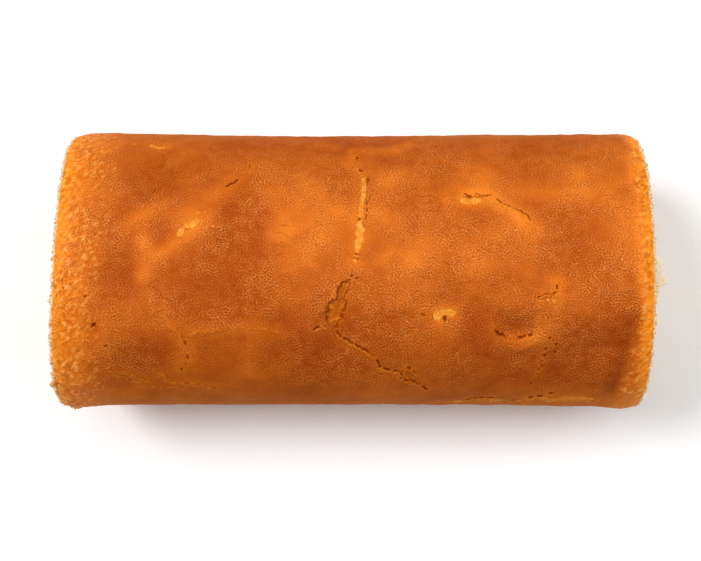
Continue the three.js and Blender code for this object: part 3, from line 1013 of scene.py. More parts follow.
PITS = (
    (74.3, 40.8), (74, 44.8), (2.2, -16), (0.9, 0.2), (0.7, 2), (-1.1, 9.9), (0.7, 11), (1.1, -48.7),
    (2.2, -40.4), (-61.5, -11.4), (66.9, 19.4), (71.5, 37.4), (70.7, 42.9), (70.6, 46.2), (69.6, 51.8),
    (66.5, 61), (-98.1, 18.9), (-91.6, 41),
)

# Pale raised dots on the crust; the three by the corner crack are painted highlights.
BEADS = (
    (-57.5, -19), (-54.9, -19.1), (-51.7, -12.7), (-89.6, -42.5), (-84.2, -58.9), (33.5, 29.9),
    (71.2, 16.4), (72.4, 20.8), (70.2, 20.6),
)


@dataclass(frozen=True)
class RollShape:
    """The wound roll: its outline, how the sheet winds inwards, and where the two ends are cut."""

    length: float = 220.0
    width: float = 108.0
    height: float = 88.0
    axis_height: float = 42.0
    base_press: float = 3.5
    roundness: float = 2.15
    middle_along: float = -1.4
    sponge_thick: float = 11.5
    tip_thick: float = 7.0
    tip_taper: float = 0.1
    tip_lean: float = 204.0
    sheet_turns: float = 2.3
    crust_turns: float = 64 / 60
    wind_turns: tuple[float, ...] = (0, 0.45, 0.86, 1, 1.14, 1.5, 1.86, 2.06, 2.3)
    wind_shares: tuple[float, ...] = (0, 0.045, 0.105, 0.185, 0.355, 0.435, 0.53, 0.63, 0.735)
    rim_drop: float = 2.0
    rim_reach: float = 7.0
    skew_left: float = 2.2
    skew_right: float = 0.6
    flare_left: float = 2.3
    flare_right: float = 1.1
    ridge_taper: float = 9.0
    fold_tips: Span = (1.0, 3.0)
    fold_edge: Span = (-0.2, 0.6)
    relief_fade: Span = (100.0, 135.0)

    @property
    def mean_radius(self) -> float:
        """Radius at which the flat sheet's lengths are true."""
        return (self.width + self.height) / 4

    @property
    def arc(self) -> float:
        """Length of one degree of lean on the flat sheet."""
        return math.radians(1) * self.mean_radius

    @property
    def half_spread(self) -> float:
        """The outline's half width before the winding takes its share."""
        front, back = 1 - self.wind_share(self.turn_at(np.array([90.0, -90.0])))
        return self.width / (front + back)

    @property
    def crown_rise(self) -> float:
        """The outline's rise above the axis before the winding takes its share."""
        return (self.height - self.axis_height) / float(1 - self.wind_share(self.turn_at(np.array(0.0))))

    @property
    def base_drop(self) -> float:
        """The outline's drop below the axis before the base is pressed flat."""
        return self.axis_height + self.base_press

    @property
    def axis_y(self) -> float:
        """Where the winding axis lies, so that the roll is centred."""
        front = float(1 - self.wind_share(self.turn_at(np.array(90.0))))
        return self.half_spread * front - self.width / 2

    def turn_at(self, lean: Array) -> Array:
        """The outer turn at which the sheet passes a lean."""
        return (self.tip_lean - lean) / 360

    def lean_at(self, turn: Array) -> Array:
        """The lean that the sheet has reached after some turns."""
        return self.tip_lean - 360 * turn

    def wind_share(self, turn: Array) -> Array:
        """Share of the way in to the sheet's outer face, on a smooth curve through the winding's marks.

        Args:
            turn: turns from the outer tip.

        Returns:
            The share at each turn.
        """
        marks = np.array(self.wind_turns)
        shares = np.array(self.wind_shares)
        steps = np.diff(marks)
        secants = np.diff(shares) / steps
        inner = (shares[2:] - shares[:-2]) / (marks[2:] - marks[:-2])
        first = 1.5 * secants[0] - 0.5 * inner[0]
        last = 1.5 * secants[-1] - 0.5 * inner[-1]
        slopes = np.concatenate([[first], inner, [last]])
        spot = np.clip(np.searchsorted(marks, turn, side="right") - 1, 0, len(steps) - 1)
        part = (turn - marks[spot]) / steps[spot]
        rest = 1 - part
        start = shares[spot] * (1 + 2 * part) * rest**2 + slopes[spot] * steps[spot] * part * rest**2
        stop = shares[spot + 1] * part**2 * (3 - 2 * part) - slopes[spot + 1] * steps[spot] * part**2 * rest
        return start + stop

    def thick_at(self, turn: Array) -> Array:
        """Thickness of the sheet, which thins out towards its tip."""
        return self.tip_thick + (self.sponge_thick - self.tip_thick) * ease(turn, 0, self.tip_taper)

    def inner_share(self, turn: Array) -> Array:
        """Share of the way in to the sheet's inner face."""
        return self.wind_share(turn) + self.thick_at(turn) / self.mean_radius

    def section(self, turn: Array, share: Array, outward: float = 0.0) -> Array:
        """Points of the cross-section.

        Args:
            turn: turns from the outer tip.
            share: share of the way in from the outline to the axis.
            outward: how far the points are moved outward.

        Returns:
            Their y and z as the last axis.
        """
        lean = np.radians(self.lean_at(turn))
        rise = np.where(np.cos(lean) > 0, self.crown_rise, self.base_drop)
        across = np.abs(np.sin(lean)) / self.half_spread
        upright = np.abs(np.cos(lean)) / rise
        radius = (across**self.roundness + upright**self.roundness) ** (-1 / self.roundness)
        reach = radius * (1 - share) + outward
        y = self.axis_y - reach * np.sin(lean)
        z = np.maximum(self.axis_height + reach * np.cos(lean), 0)
        return np.stack([y, z], axis=-1)

    def end_along(self, end: End, y: Array) -> Array:
        """Where a cut end lies along the roll.

        Args:
            end: the end.
            y: places across the roll.

        Returns:
            How far along it lies at each place.
        """
        is_left = end is End.LEFT
        skew = self.skew_left if is_left else self.skew_right
        flare = self.flare_left if is_left else self.flare_right
        forward = (self.axis_y - y) / (self.width / 2)
        return self.middle_along + end.value * (self.length / 2 + skew * forward + flare * forward**2)

    def rim_fall(self, from_end: Array) -> Array:
        """How far the crust rounds over near a cut end."""
        over = 1 - np.clip(from_end / self.rim_reach, 0, 1)
        return self.rim_drop * (1 - np.sqrt(1 - over * over))

    def swell(self, along: Array, lean: Array) -> Array:
        """Height of the crust's swells and hollows.

        Args:
            along: places along the roll, from the sponge's middle.
            lean: the places' leans.

        Returns:
            The height at each place.
        """
        total = np.zeros(np.broadcast(along, lean).shape)
        for swell in SWELLS:
            away = np.hypot(along - swell.along, (lean - swell.lean) * self.arc) / swell.spread
            total = total + swell.height * np.exp(-away * away)
        for ridge in RIDGES:
            away = self._from_path(along, lean, ridge.path) / ridge.spread
            spots = (ridge.path[0], ridge.path[-1])
            tips = [np.hypot(along - x, (lean - tip) * self.arc) for x, tip in spots]
            taper = ease(np.minimum(*tips), 0, self.ridge_taper)
            total = total + ridge.height * taper * np.exp(-away * away)
        return total * (1 - ease(np.abs(lean), *self.relief_fade))

    def _from_path(self, along: Array, lean: Array, path: Path) -> Array:
        """Distance from places on the crust to a path.

        Args:
            along: places along the roll, from the sponge's middle.
            lean: the places' leans.
            path: the path's (along, lean) spots.

        Returns:
            The distance of each place.
        """
        places = np.stack(np.broadcast_arrays(along, lean * self.arc), axis=-1)
        spots = np.array(path) * (1, self.arc)
        nearest = np.full(places.shape[:-1], np.inf)
        for start, stop in zip(spots, spots[1:]):
            run = stop - start
            part = np.clip((places - start) @ run / (run @ run), 0, 1)
            away = np.linalg.norm(places - start - part[..., None] * run, axis=-1)
            nearest = np.minimum(nearest, away)
        return nearest

    def fold(self, along: Array, lean: Array) -> Array:
        """Depth of the hollows behind the crust's folds.

        Args:
            along: places along the roll, from the sponge's middle.
            lean: the places' leans.

        Returns:
            The depth at each place.
        """
        outside, inside = self.fold_tips
        total = np.zeros(np.broadcast(along, lean).shape)
        for fold in FOLDS:
            line_along, line_lean = np.array(fold.path).T
            behind = (np.interp(along, line_along, line_lean) - lean) * self.arc
            shown = ease(along - line_along[0], -outside, inside)
            shown = shown * ease(along - line_along[-1], outside, -inside)
            hollow = ease(behind, *self.fold_edge) * np.exp(-np.maximum(behind, 0) / fold.reach)
            total = total + fold.drop * shown * hollow
        return total

    def flat_across(self, lean: Array) -> Array:
        """Where a lean lies across the flat sheet."""
        return -np.radians(lean) * self.mean_radius


def put(name: str, data: bpy.types.ID) -> bpy.types.Object:
    """Put an object in the scene.

    Args:
        name: the object's name.
        data: its mesh, light or camera.

    Returns:
        The object.
    """
    made = bpy.data.objects.new(name, data)
    bpy.context.scene.collection.objects.link(made)
    return made


def new_piece(
    name: str, points: Array, faces: list[list[int]], edges: Array | None = None
) -> bpy.types.Object:
    """Make an object from points and faces or edges, and put it in the scene.

    Args:
        name: the object's name.
        points: the points' places.
        faces: the faces as lists of point numbers.
        edges: pairs of point numbers, for a piece with no faces.

    Returns:
        The object.
    """
    mesh = bpy.data.meshes.new(name)
    mesh.from_pydata(points.tolist(), [] if edges is None else edges.tolist(), faces)
    return put(name, mesh)


def quads(grid: Array) -> list[list[int]]:
    """Faces of a grid of point numbers."""
    corners = [grid[:-1, :-1], grid[:-1, 1:], grid[1:, 1:], grid[1:, :-1]]
    return np.stack(corners, axis=-1).reshape(-1, 4).tolist()


def close_mesh(mesh: bpy.types.Mesh, weld: float = 0.0) -> None:
    """Drop points that no face uses, and turn every face of a closed mesh outwards.

    Args:
        mesh: the mesh.
        weld: points that are nearer to each other than this are joined first.
    """
    work = bmesh.new()
    work.from_mesh(mesh)
    if weld:
        bmesh.ops.remove_doubles(work, verts=work.verts, dist=weld)
    loose = [point for point in work.verts if not point.link_faces]
    bmesh.ops.delete(work, geom=loose, context="VERTS")
    bmesh.ops.recalc_face_normals(work, faces=work.faces)
    work.to_mesh(mesh)
    work.free()


def write_values(mesh: bpy.types.Mesh, values: dict[str, Array]) -> None:
    """Leave named values on a mesh's points.

    Args:
        mesh: the mesh.
        values: one array for each name.
    """
    for name, array in values.items():
        layer = mesh.attributes.new(name, "FLOAT", "POINT")
        layer.data.foreach_set("value", np.asarray(array, dtype=np.float32))


@dataclass
class CrackLines:
    """The crust's cracks as jagged lines on the flat sheet, which the rolling tree reads."""

    shape: RollShape
    step: float = 0.6
    jitter: float = 0.32
    width_spread: Span = (0.6, 1.4)
    least_half_width: float = 0.2
    tip_depth: float = 0.35
    tip_length: float = 1.5
    gap_length: float = 1.1
    gap_share: float = 0.7
    gap_edge: float = 0.12
    dot_half_width: float = 0.3
    dot_length: float = 0.4
    dot_halo: float = 0.15
    seed: int = 29

    def build(self) -> bpy.types.Object:
        """Make the lines.

        Returns:
            An object of edges whose points carry how wide, deep, pale, soft and open the crack is there.
        """
        random = np.random.default_rng(self.seed)
        points: list[Array] = []
        edges: list[Array] = []
        values: dict[str, list[Array]] = {}
        count = 0
        for crack in self._all_cracks():
            look = crack.kind.value
            line = self._jagged(np.array(crack.path), random)
            total = len(line)
            LOG.debug("%s: %d points", crack.name, total)
            from_tip = np.minimum(np.arange(total), np.arange(total)[::-1]) * self.step
            tapered = self.tip_depth + (1 - self.tip_depth) * ease(from_tip, 0, self.tip_length)
            points.append(line[:, :2])
            edges.append(count + np.stack([np.arange(total - 1), np.arange(1, total)], axis=1))
            parts = {
                "half_width": line[:, 2] * random.uniform(*self.width_spread, total),
                "depth": look.depth * tapered,
                "gape": look.least_gape + (1 - look.least_gape) * self._gape(total, look.broken, random),
                "pale": np.full(total, look.pale),
                "soft": np.full(total, look.soft),
                "golden_lip": np.full(total, look.lip),
                "ink": np.full(total, look.ink),
                "halo": np.full(total, crack.halo),
            }
            for name, part in parts.items():
                values.setdefault(name, []).append(part)
            count += total
        places = np.column_stack([np.concatenate(points), np.zeros(count)])
        lines = new_piece("crack_lines", places, [], np.concatenate(edges))
        write_values(lines.data, {name: np.concatenate(parts) for name, parts in values.items()})
        return lines

    def _all_cracks(self) -> list[Crack]:
        """Gather the cracks, with each pit and bead as a very short one.

        Returns:
            The cracks, the pits and the beads.
        """
        half = self.dot_half_width
        dots = [(CrackKind.PIT, spot) for spot in PITS] + [(CrackKind.BEAD, spot) for spot in BEADS]
        short = []
        for kind, (along, lean) in dots:
            path = ((along, lean, half), (along + self.dot_length, lean, half))
            short.append(Crack("dot", kind, self.dot_halo, path))
        return [*CRACKS, *short]

    def _gape(self, total: int, broken: float, random: np.random.Generator) -> Array:
        """How open a line is along its length.

        Args:
            total: how many points it has.
            broken: share of it that is closed.
            random: the seeded source of the gaps.

        Returns:
            Values from 0, closed, to 1, open.
        """
        if broken == 0:
            return np.ones(total)
        knots = max(2, math.ceil(total * self.step / self.gap_length) + 1)
        level = np.interp(np.linspace(0, knots - 1, total), np.arange(knots), random.uniform(0, 1, knots))
        middle = broken * self.gap_share
        return ease(level, middle - self.gap_edge, middle + self.gap_edge)

    def _jagged(self, path: Array, random: np.random.Generator) -> Array:
        """Sample a smooth line through a path's spots and shake it.

        Args:
            path: rows of along, lean and half width.
            random: the seeded source of the shaking.

        Returns:
            Rows of flat x, flat y and half width.
        """
        along, lean, half = path.T
        spots = np.column_stack([along + self.shape.middle_along, self.shape.flat_across(lean), half])
        padded = np.concatenate([[2 * spots[0] - spots[1]], spots, [2 * spots[-1] - spots[-2]]])
        runs = []
        for before, start, stop, after in zip(padded, padded[1:], padded[2:], padded[3:]):
            steps = max(1, round(float(np.hypot(*(stop - start)[:2])) / self.step))
            part = (np.arange(steps) / steps)[:, None]
            bend = 2 * before - 5 * start + 4 * stop - after
            twist = 3 * (start - stop) + after - before
            runs.append(0.5 * (2 * start + (stop - before) * part + bend * part**2 + twist * part**3))
        line = np.concatenate([*runs, spots[-1:]])
        line[1:-1, :2] += random.uniform(-self.jitter, self.jitter, (len(line) - 2, 2))
        line[:, 2] = np.maximum(line[:, 2], self.least_half_width)
        return line


@dataclass(frozen=True)
class RollUp:
    """The tree that rolls the flat sheet up, opens its cracks and roughens its cut ends."""

    shape: RollShape
    crust: CrustFinish = CrustFinish()
    crumb: CrumbFinish = CrumbFinish()
    wave_size: float = 15.0
    undulation: float = 0.45
    pucker_size: float = 7.0
    pucker_shake: float = 0.6
    puckering: float = 0.28
    dimple_size: float = 3.6
    dimple: float = 0.14
    lump_size: float = 1.45
    lump_shake: float = 0.7
    lump_slant: float = 45.0
    lump_stretch: tuple[float, float, float] = (0.7, 1.0, 1.0)
    lump_height: float = 0.42
    fray_size: float = 1.1
    fray: float = 0.3
    floor_share: float = 0.35
    lip_height: float = 0.3
    lip_setback: float = 0.8
    lip_width: float = 0.25
    lip_fray_size: float = 1.6
    lip_shares: Span = (0.4, 1.0)
    halo_reach: Span = (5.5, 0.6)
    tuck_wave: float = 2.2
    tuck_wave_size: float = 16.0
    pore_depth: float = 1.0
    pore_spacing: float = 3.2
    pore_edge: Span = (0.42, 0.14)
    pore_choice: float = 0.5
    small_pore_spacing: float = 1.5
    small_pore_edge: Span = (0.42, 0.12)
    small_pore_share: float = 0.4
    ragged: float = 0.8
    ragged_size: float = 8.0
    torn_size: float = 2.0

    def tree(self, lines: bpy.types.Object) -> Recipe:
        """Lay out the tree.

        Args:
            lines: the crack lines on the flat sheet.

        Returns:
            The tree, ready to run.
        """
        recipe = Recipe("Roll up the sheet")
        crust = recipe.given("Crust", self.crust.material(), "NodeSocketMaterial")
        crumb = recipe.given("Crumb", self.crumb.material(), "NodeSocketMaterial")
        flat = recipe.board.node("GeometryNodeInputPosition")
        raised = self._swell(recipe, flat) + self._crack(recipe, flat, lines)
        self._wind(recipe, flat, recipe.read("lift") + recipe.read("skin") * raised)
        self._roughen(recipe)
        recipe.to_metres()
        recipe.then("GeometryNodeSetMaterial", Material=crust)
        recipe.then("GeometryNodeSetMaterial", Selection=recipe.read("crumb", "BOOLEAN"), Material=crumb)
        return recipe

    def _swell(self, recipe: Recipe, flat: Wire) -> Wire:
        """Waves, puckers and dimples of the crust, and lumps where it is rough.

        Args:
            recipe: the tree.
            flat: the points' places on the flat sheet.

        Returns:
            How far they raise the crust.
        """
        board = recipe.board
        wave = board.swing(flat, self.wave_size, 1.0) * recipe.given("Undulation", self.undulation)
        pucker = board.swing(flat, self.pucker_size, 1.0, self.pucker_shake)
        pucker = pucker * recipe.given("Puckering", self.puckering)
        dimple = board.swing(flat, self.dimple_size, 1.0) * recipe.given("Dimple", self.dimple)
        turned = {"Vector": flat, "Angle": -math.radians(self.lump_slant)}
        slanted = board.node("ShaderNodeVectorRotate", {"rotation_type": "Z_AXIS"}, turned)
        stretched = board.vector("MULTIPLY", slanted, self.lump_stretch)
        lump = board.noise(stretched, self.lump_size, 0.5, self.lump_shake)
        lumps = (lump - 0.5) * 2.0 * recipe.given("Lump height", self.lump_height) * recipe.read("rough")
        # the stored relief later paints the hollows darker and the swells lighter, partly as painted shade
        recipe.store("relief", recipe.read("swell") + recipe.read("skin") * (wave + pucker))
        recipe.store("lump", lump)
        return wave + pucker + dimple + lumps

    def _crack(self, recipe: Recipe, flat: Wire, lines: bpy.types.Object) -> Wire:
        """Cracks and their lips.

        Args:
            recipe: the tree.
            flat: the points' places on the flat sheet.
            lines: the crack lines on the flat sheet.

        Returns:
            How far they raise the crust.
        """
        board = recipe.board
        skin = recipe.read("skin")
        line_object = recipe.given("Crack lines", lines, "NodeSocketObject")
        cracks = board.node("GeometryNodeObjectInfo", None, {"Object": line_object}).side("Geometry")
        sampled = {"Geometry": cracks, "Sample Position": flat}
        nearest = board.node("GeometryNodeSampleNearest", {"domain": "POINT"}, sampled)

        def from_line(spot: Wire) -> Wire:
            """Distance of a spot from the nearest crack."""
            sockets = {"Geometry": cracks, "Sample Position": spot}
            found = board.node("GeometryNodeProximity", {"target_element": "EDGES"}, sockets)
            return found.side("Distance")

        def crack_value(name: str) -> Wire:
            """A value of the nearest crack."""
            sockets = {"Geometry": cracks, "Value": recipe.read(name), "Index": nearest}
            return board.node("GeometryNodeSampleIndex", {"data_type": "FLOAT", "domain": "POINT"}, sockets)

        away = from_line(flat)
        half_width = crack_value("half_width")
        gape = crack_value("gape")
        frayed = away + board.swing(flat, self.fray_size, 1.0) * self.fray
        opening = board.smooth(frayed, half_width + crack_value("soft"), half_width * self.floor_share)
        opening = opening * gape * skin
        # The lip lies on the crack's front side, which faces the light; its golden colour there is painted
        # light.
        beside = from_line(board.vector("ADD", flat, (0.0, self.lip_setback, 0.0)))
        beside = beside + board.swing(flat, self.lip_fray_size, 1.0) * self.fray
        beside = beside / (half_width + self.lip_width)
        lip = board.math("EXPONENT", -(beside * beside)) * crack_value("golden_lip") * skin
        recipe.store("opening", opening)
        recipe.store("lip", lip * board.between(self.lip_shares, gape))
        recipe.store("pale", crack_value("pale"))
        recipe.store("ink", crack_value("ink"))
        recipe.store("halo", crack_value("halo") * board.smooth(away, *self.halo_reach) * skin)
        return lip * recipe.given("Lip height", self.lip_height) - crack_value("depth") * opening

    def _wind(self, recipe: Recipe, flat: Wire, lift: Wire) -> None:
        """Move every point of the flat sheet to its place on the roll.

        Args:
            recipe: the tree.
            flat: the points' places on the flat sheet.
            lift: how far each point is moved outward.
        """
        shape = self.shape
        board = recipe.board
        crown_rise = recipe.given("Crown rise", shape.crown_rise)
        base_drop = recipe.given("Base drop", shape.base_drop)
        roundness = recipe.given("Roundness", shape.roundness)
        place = board.split(flat)
        recipe.store("across", place.side("Y"))
        wavering = board.swing(board.vector("MULTIPLY", flat, (1.0, 0.0, 0.0)), self.tuck_wave_size, 2.0)
        wavering = wavering * recipe.given("Tuck wave", self.tuck_wave) * recipe.read("tuck")
        lean = -(place.side("Y") + wavering) / recipe.given("Mean radius", shape.mean_radius)
        sine = board.math("SINE", lean)
        cosine = board.math("COSINE", lean)
        rise = base_drop + board.math("GREATER_THAN", cosine, 0.0) * (crown_rise - base_drop)
        across = abs(sine) / recipe.given("Half spread", shape.half_spread)
        upright = abs(cosine) / rise
        radius = (across**roundness + upright**roundness) ** (-1.0 / roundness)
        reach = radius * (1 - recipe.read("share")) + lift
        y = recipe.given("Axis setback", shape.axis_y) - reach * sine
        z = recipe.given("Axis height", shape.axis_height) + reach * cosine
        rolled = board.join(X=place, Y=y, Z=board.math("MAXIMUM", z, 0.0))
        recipe.then("GeometryNodeSetPosition", Position=rolled)

    def _roughen(self, recipe: Recipe) -> None:
        """Tear the rims of the cut ends and open the crumb's pores.

        Args:
            recipe: the tree.
        """
        board = recipe.board
        ragged = recipe.given("Ragged rim", self.ragged)
        at = board.node("GeometryNodeInputPosition")
        cut = recipe.read("cut")
        bubbles = board.cells(at, self.pore_spacing)
        chosen = board.math("GREATER_THAN", bubbles.side("Color"), self.pore_choice)
        hole = board.smooth(bubbles, *self.pore_edge) * chosen
        small = board.smooth(board.cells(at, self.small_pore_spacing), *self.small_pore_edge)
        pore = (hole + small * self.small_pore_share) * abs(cut)
        waving = board.swing(at, self.ragged_size, 2.0) * ragged
        tear = board.swing(at, self.torn_size, 1.0) * ragged * recipe.read("skin")
        recipe.store("pore", pore)
        recipe.shift(cut * (waving + tear - pore * recipe.given("Pore depth", self.pore_depth)))


@dataclass
class Sponge:
    """The baked sheet, cut flat with its crust, refined at the cracks and then rolled up."""

    shape: RollShape
    top_lean: float = 102.0
    crust_step: float = 1.1
    under_step: float = 3.6
    hidden_step: float = 1.6
    level_step: float = 0.8
    rim_columns: tuple[float, ...] = (0, 0.35, 0.8, 1.4, 2.2, 3.1)
    rough_left: Span = (25.0, 3.0)
    rough_right: Span = (8.5, 3.5)
    rough_right_share: float = 0.9
    rough_low: float = 3.5
    rough_low_leans: Span = (30.0, 70.0)
    rough_shown: float = 0.25
    crown_fade: Span = (78.0, 40.0)
    # Painted shade down the sides: how far the front and back sides are darkened, and where this fades near
    # the ends.
    flank_front: Span = (12.0, 58.0)
    flank_low: Span = (58.0, 84.0)
    flank_low_share: float = 0.7
    flank_back: Span = (-12.0, -42.0)
    flank_far: Span = (-50.0, -72.0)
    flank_back_share: float = 0.45
    flank_far_share: float = 0.9
    flank_left: Span = (30.0, 6.0)
    flank_right: Span = (7.0, 3.0)
    flank_end_share: float = 0.75
    wide_row: float = 1.05
    skin_shown: float = 0.5
    most_corners: int = 6
    crack_cuts: int = 2
    crack_reach: float = 1.3
    tuck_rows: int = 5
    tuck_bulge: float = 2.2

    def build(self, lines: bpy.types.Object) -> bpy.types.Object:
        """Make the rolled sponge.

        Args:
            lines: the crack lines on the flat sheet.

        Returns:
            The sponge as a closed mesh in its place.
        """
        piece = self._flat_sheet()
        self._refine(piece.data, lines.data)
        RollUp(self.shape).tree(lines).run(piece)
        return piece

    def _rows(self) -> tuple[Array, int]:
        """Turns at which the sheet has a row of points.

        Returns:
            The turns, and how many of the rows belong to the crust.
        """
        shape = self.shape
        round_trip = 2 * math.pi * shape.mean_radius
        front, back = shape.turn_at(np.array([self.top_lean, -self.top_lean])).tolist()
        marks = (0.0, front, back, shape.crust_turns)
        runs = []
        for start, stop, step in zip(marks, marks[1:], (self.under_step, self.crust_step, self.under_step)):
            count = math.ceil((stop - start) * round_trip / step)
            runs.append(np.linspace(start, stop, count, endpoint=False))
        crust_rows = sum(len(run) for run in runs) + 1
        hidden = math.ceil((shape.sheet_turns - shape.crust_turns) * round_trip / self.hidden_step)
        runs.append(np.linspace(shape.crust_turns, shape.sheet_turns, hidden))
        return np.concatenate(runs), crust_rows

    def _columns(self) -> Array:
        """Columns of points on the crust.

        Returns:
            Their distances from the left end.
        """
        step = self.crust_step
        length = self.shape.length
        rim = np.array(self.rim_columns)
        plain = np.arange(rim[-1] + step, length - rim[-1] - step / 2, step)
        return np.concatenate([rim, plain, length - rim[::-1]])

    def _shades(self, columns: Array, lean: Array) -> dict[str, Array]:
        """Where the crust is rough, where it faces up, and how much painted shade darkens its sides.

        Args:
            columns: distances from the left end.
            lean: the rows' leans, one in each row.

        Returns:
            The values called rough, crown and the sides' painted shade, by row and column.
        """
        from_right = self.shape.length - columns
        low = self.rough_low * ease(lean, *self.rough_low_leans)
        rough_right = self.rough_right_share * ease(from_right - low, *self.rough_right)
        # painted shade, strongest on the front side, weaker on the back and fading low down
        front = ease(lean, *self.flank_front) - self.flank_low_share * ease(lean, *self.flank_low)
        far = 1 - self.flank_far_share * ease(lean, *self.flank_far)
        flank = front + self.flank_back_share * ease(lean, *self.flank_back) * far
        near_end = np.maximum(ease(columns, *self.flank_left), ease(from_right, *self.flank_right))
        shades = {
            "rough": np.maximum(ease(columns, *self.rough_left), rough_right),
            "crown": ease(np.abs(lean), *self.crown_fade),
            "flank": flank * (1 - self.flank_end_share * near_end),
        }
        size = (len(lean), len(columns))
        return {name: np.broadcast_to(values, size) for name, values in shades.items()}

    def _flat_sheet(self) -> bpy.types.Object:
        """Lay out the sheet flat, as a closed slab whose points carry what rolling needs.

        Returns:
            The slab as an object.
        """
        shape = self.shape
        turns, crust_rows = self._rows()
        columns = self._columns()
        levels = np.linspace(0, 1, round(shape.sponge_thick / self.level_step) + 1)
        winding = shape.wind_share(turns)
        inward = levels * shape.thick_at(turns)[:, None]
        across = shape.flat_across(shape.lean_at(turns))[:, None] + np.zeros(levels.shape)
        across[0] -= self.tuck_bulge * 4 * levels * (1 - levels)
        tuck = ease(turns, turns[self.tuck_rows], 0)
        share = winding[:, None] + inward / shape.mean_radius
        section_y = shape.section(turns[:, None], share)[..., 0]

        left = shape.end_along(End.LEFT, section_y)
        right = shape.end_along(End.RIGHT, section_y)
        part = columns / shape.length
        along = left[:crust_rows, :1] * (1 - part) + right[:crust_rows, :1] * part
        zero = np.zeros(along.shape)
        from_end = zero + np.minimum(columns, shape.length - columns)
        lean = shape.lean_at(turns[:crust_rows, None])
        swell = shape.swell(along - shape.middle_along, lean) - shape.fold(along - shape.middle_along, lean)
        lift = swell - shape.rim_fall(from_end)
        parts = [{
            "x": along,
            "y": zero + across[:crust_rows, :1],
            "z": zero,
            "share": zero + winding[:crust_rows, None],
            "lift": lift,
            "swell": swell,
            "skin": zero + 1,
            "inward": zero,
            "from_end": from_end,
            "tuck": zero + tuck[:crust_rows, None],
            "cut": np.where(from_end > 0, 0.0, np.where(part < 0.5, -1.0, 1.0)),
            **self._shades(columns, lean),
        }]
        rim_lift = np.zeros((2, len(turns)))
        rim_lift[:, :crust_rows] = lift[:, [0, -1]].T
        zero = np.zeros(left.shape)
        for end, edge, fall in ((End.LEFT, left, rim_lift[0]), (End.RIGHT, right, rim_lift[1])):
            cut_face = dict.fromkeys(parts[0], zero)
            cut_face.update(
                x=edge, y=across, z=-inward, share=share, inward=inward, tuck=zero + tuck[:, None],
                lift=fall[:, None] * (1 - levels), cut=zero + end.value,
            )
            parts.append(cut_face)
        parts.append(self._tuck_values(parts[1], parts[2], part))
        return self._slab(parts)

    def _slab(self, parts: list[dict[str, Array]]) -> bpy.types.Object:
        """Join the sheet's faces into a closed slab.

        Args:
            parts: values by row and column of the crust, the left end, the right end and the tucked tip.

        Returns:
            The slab as an object, with its values on its points.
        """
        numbers = []
        count = 0
        for part in parts:
            size = part["x"].size
            numbers.append(count + np.arange(size).reshape(part["x"].shape))
            count += size
        crust, left, right, tucked = numbers
        for end, side in ((left, 0), (right, -1)):
            end[: len(crust), 0] = crust[:, side]
            tucked[:, side] = self._tuck_edge(end)
        values = {name: np.concatenate([part[name].ravel() for part in parts]) for name in parts[0]}
        faces, crumb_from = self._faces(crust, left, right, tucked)
        points = np.column_stack([values.pop(axis) for axis in "xyz"])
        piece = new_piece("sponge_roll", points, faces)
        write_values(piece.data, values)
        crumb = piece.data.attributes.new("crumb", "BOOLEAN", "FACE")
        crumb.data.foreach_set("value", np.arange(len(faces)) >= crumb_from)
        close_mesh(piece.data)
        return piece

    def _tuck_edge(self, end: Array) -> Array:
        """One end's values round the tucked tip: down its outer edge, then along its inner face."""
        return np.concatenate([end[0, 1:], end[1 : self.tuck_rows + 1, -1]])

    def _tuck_values(self, left: dict[str, Array], right: dict[str, Array], part: Array) -> dict[str, Array]:
        """Values of the points round the tucked tip, between the two ends.

        Args:
            left: the left end's values by row and level.
            right: the right end's values.
            part: how far each column lies from the left end to the right.

        Returns:
            The values by place round the tip and column.
        """
        values = {}
        for name in left:
            first = self._tuck_edge(left[name])[:, None]
            last = self._tuck_edge(right[name])[:, None]
            values[name] = first * (1 - part) + last * part
        zero = np.zeros(values["cut"].shape)
        values["cut"] = zero
        values["from_end"] = zero + self.shape.length * np.minimum(part, 1 - part)
        return values

    def _faces(self, crust: Array, left: Array, right: Array, tucked: Array) -> tuple[list[list[int]], int]:
        """Faces of the slab.

        Args:
            crust: point numbers of the crust by row and column.
            left: point numbers of the left end by row and level.
            right: point numbers of the right end.
            tucked: point numbers round the tucked tip by place and column.

        Returns:
            The faces, crust first, and the number of the first face that isn't crust.
        """
        rows = len(crust)
        after = self.tuck_rows + 1
        faces = quads(crust)
        crumb_from = len(faces)
        faces.append([*crust[-1].tolist(), int(right[rows, 0]), int(left[rows, 0])])
        faces += quads(np.column_stack([left[rows:, 0], right[rows:, 0]]))
        faces.append([*tucked[-1].tolist(), int(right[after, -1]), int(left[after, -1])])
        faces += quads(np.column_stack([left[after:, -1], right[after:, -1]]))
        faces += quads(left)
        faces += quads(right)
        faces += quads(np.concatenate([crust[:1], tucked]))
        faces.append([int(left[-1, 0]), *right[-1].tolist(), *left[-1, :0:-1].tolist()])
        return faces, crumb_from

    def _refine(self, mesh: bpy.types.Mesh, lines: bpy.types.Mesh) -> None:
        """Split the end faces where the rows are wide, and the crust's faces where it is rough or cracked.

        Args:
            mesh: the flat slab.
            lines: the crack lines.
        """
        tree = kdtree.KDTree(len(lines.vertices))
        for number, point in enumerate(lines.vertices):
            tree.insert(point.co, number)
        tree.balance()
        widths = lines.attributes["half_width"].data
        work = bmesh.new()
        work.from_mesh(mesh)
        skin = work.verts.layers.float["skin"]
        rough = work.verts.layers.float["rough"]

        def least(part: bmesh.types.BMEdge | bmesh.types.BMFace, layer: bmesh.types.BMLayerItem) -> float:
            """Smallest value at the points of an edge or face."""
            return min(point[layer] for point in part.verts)

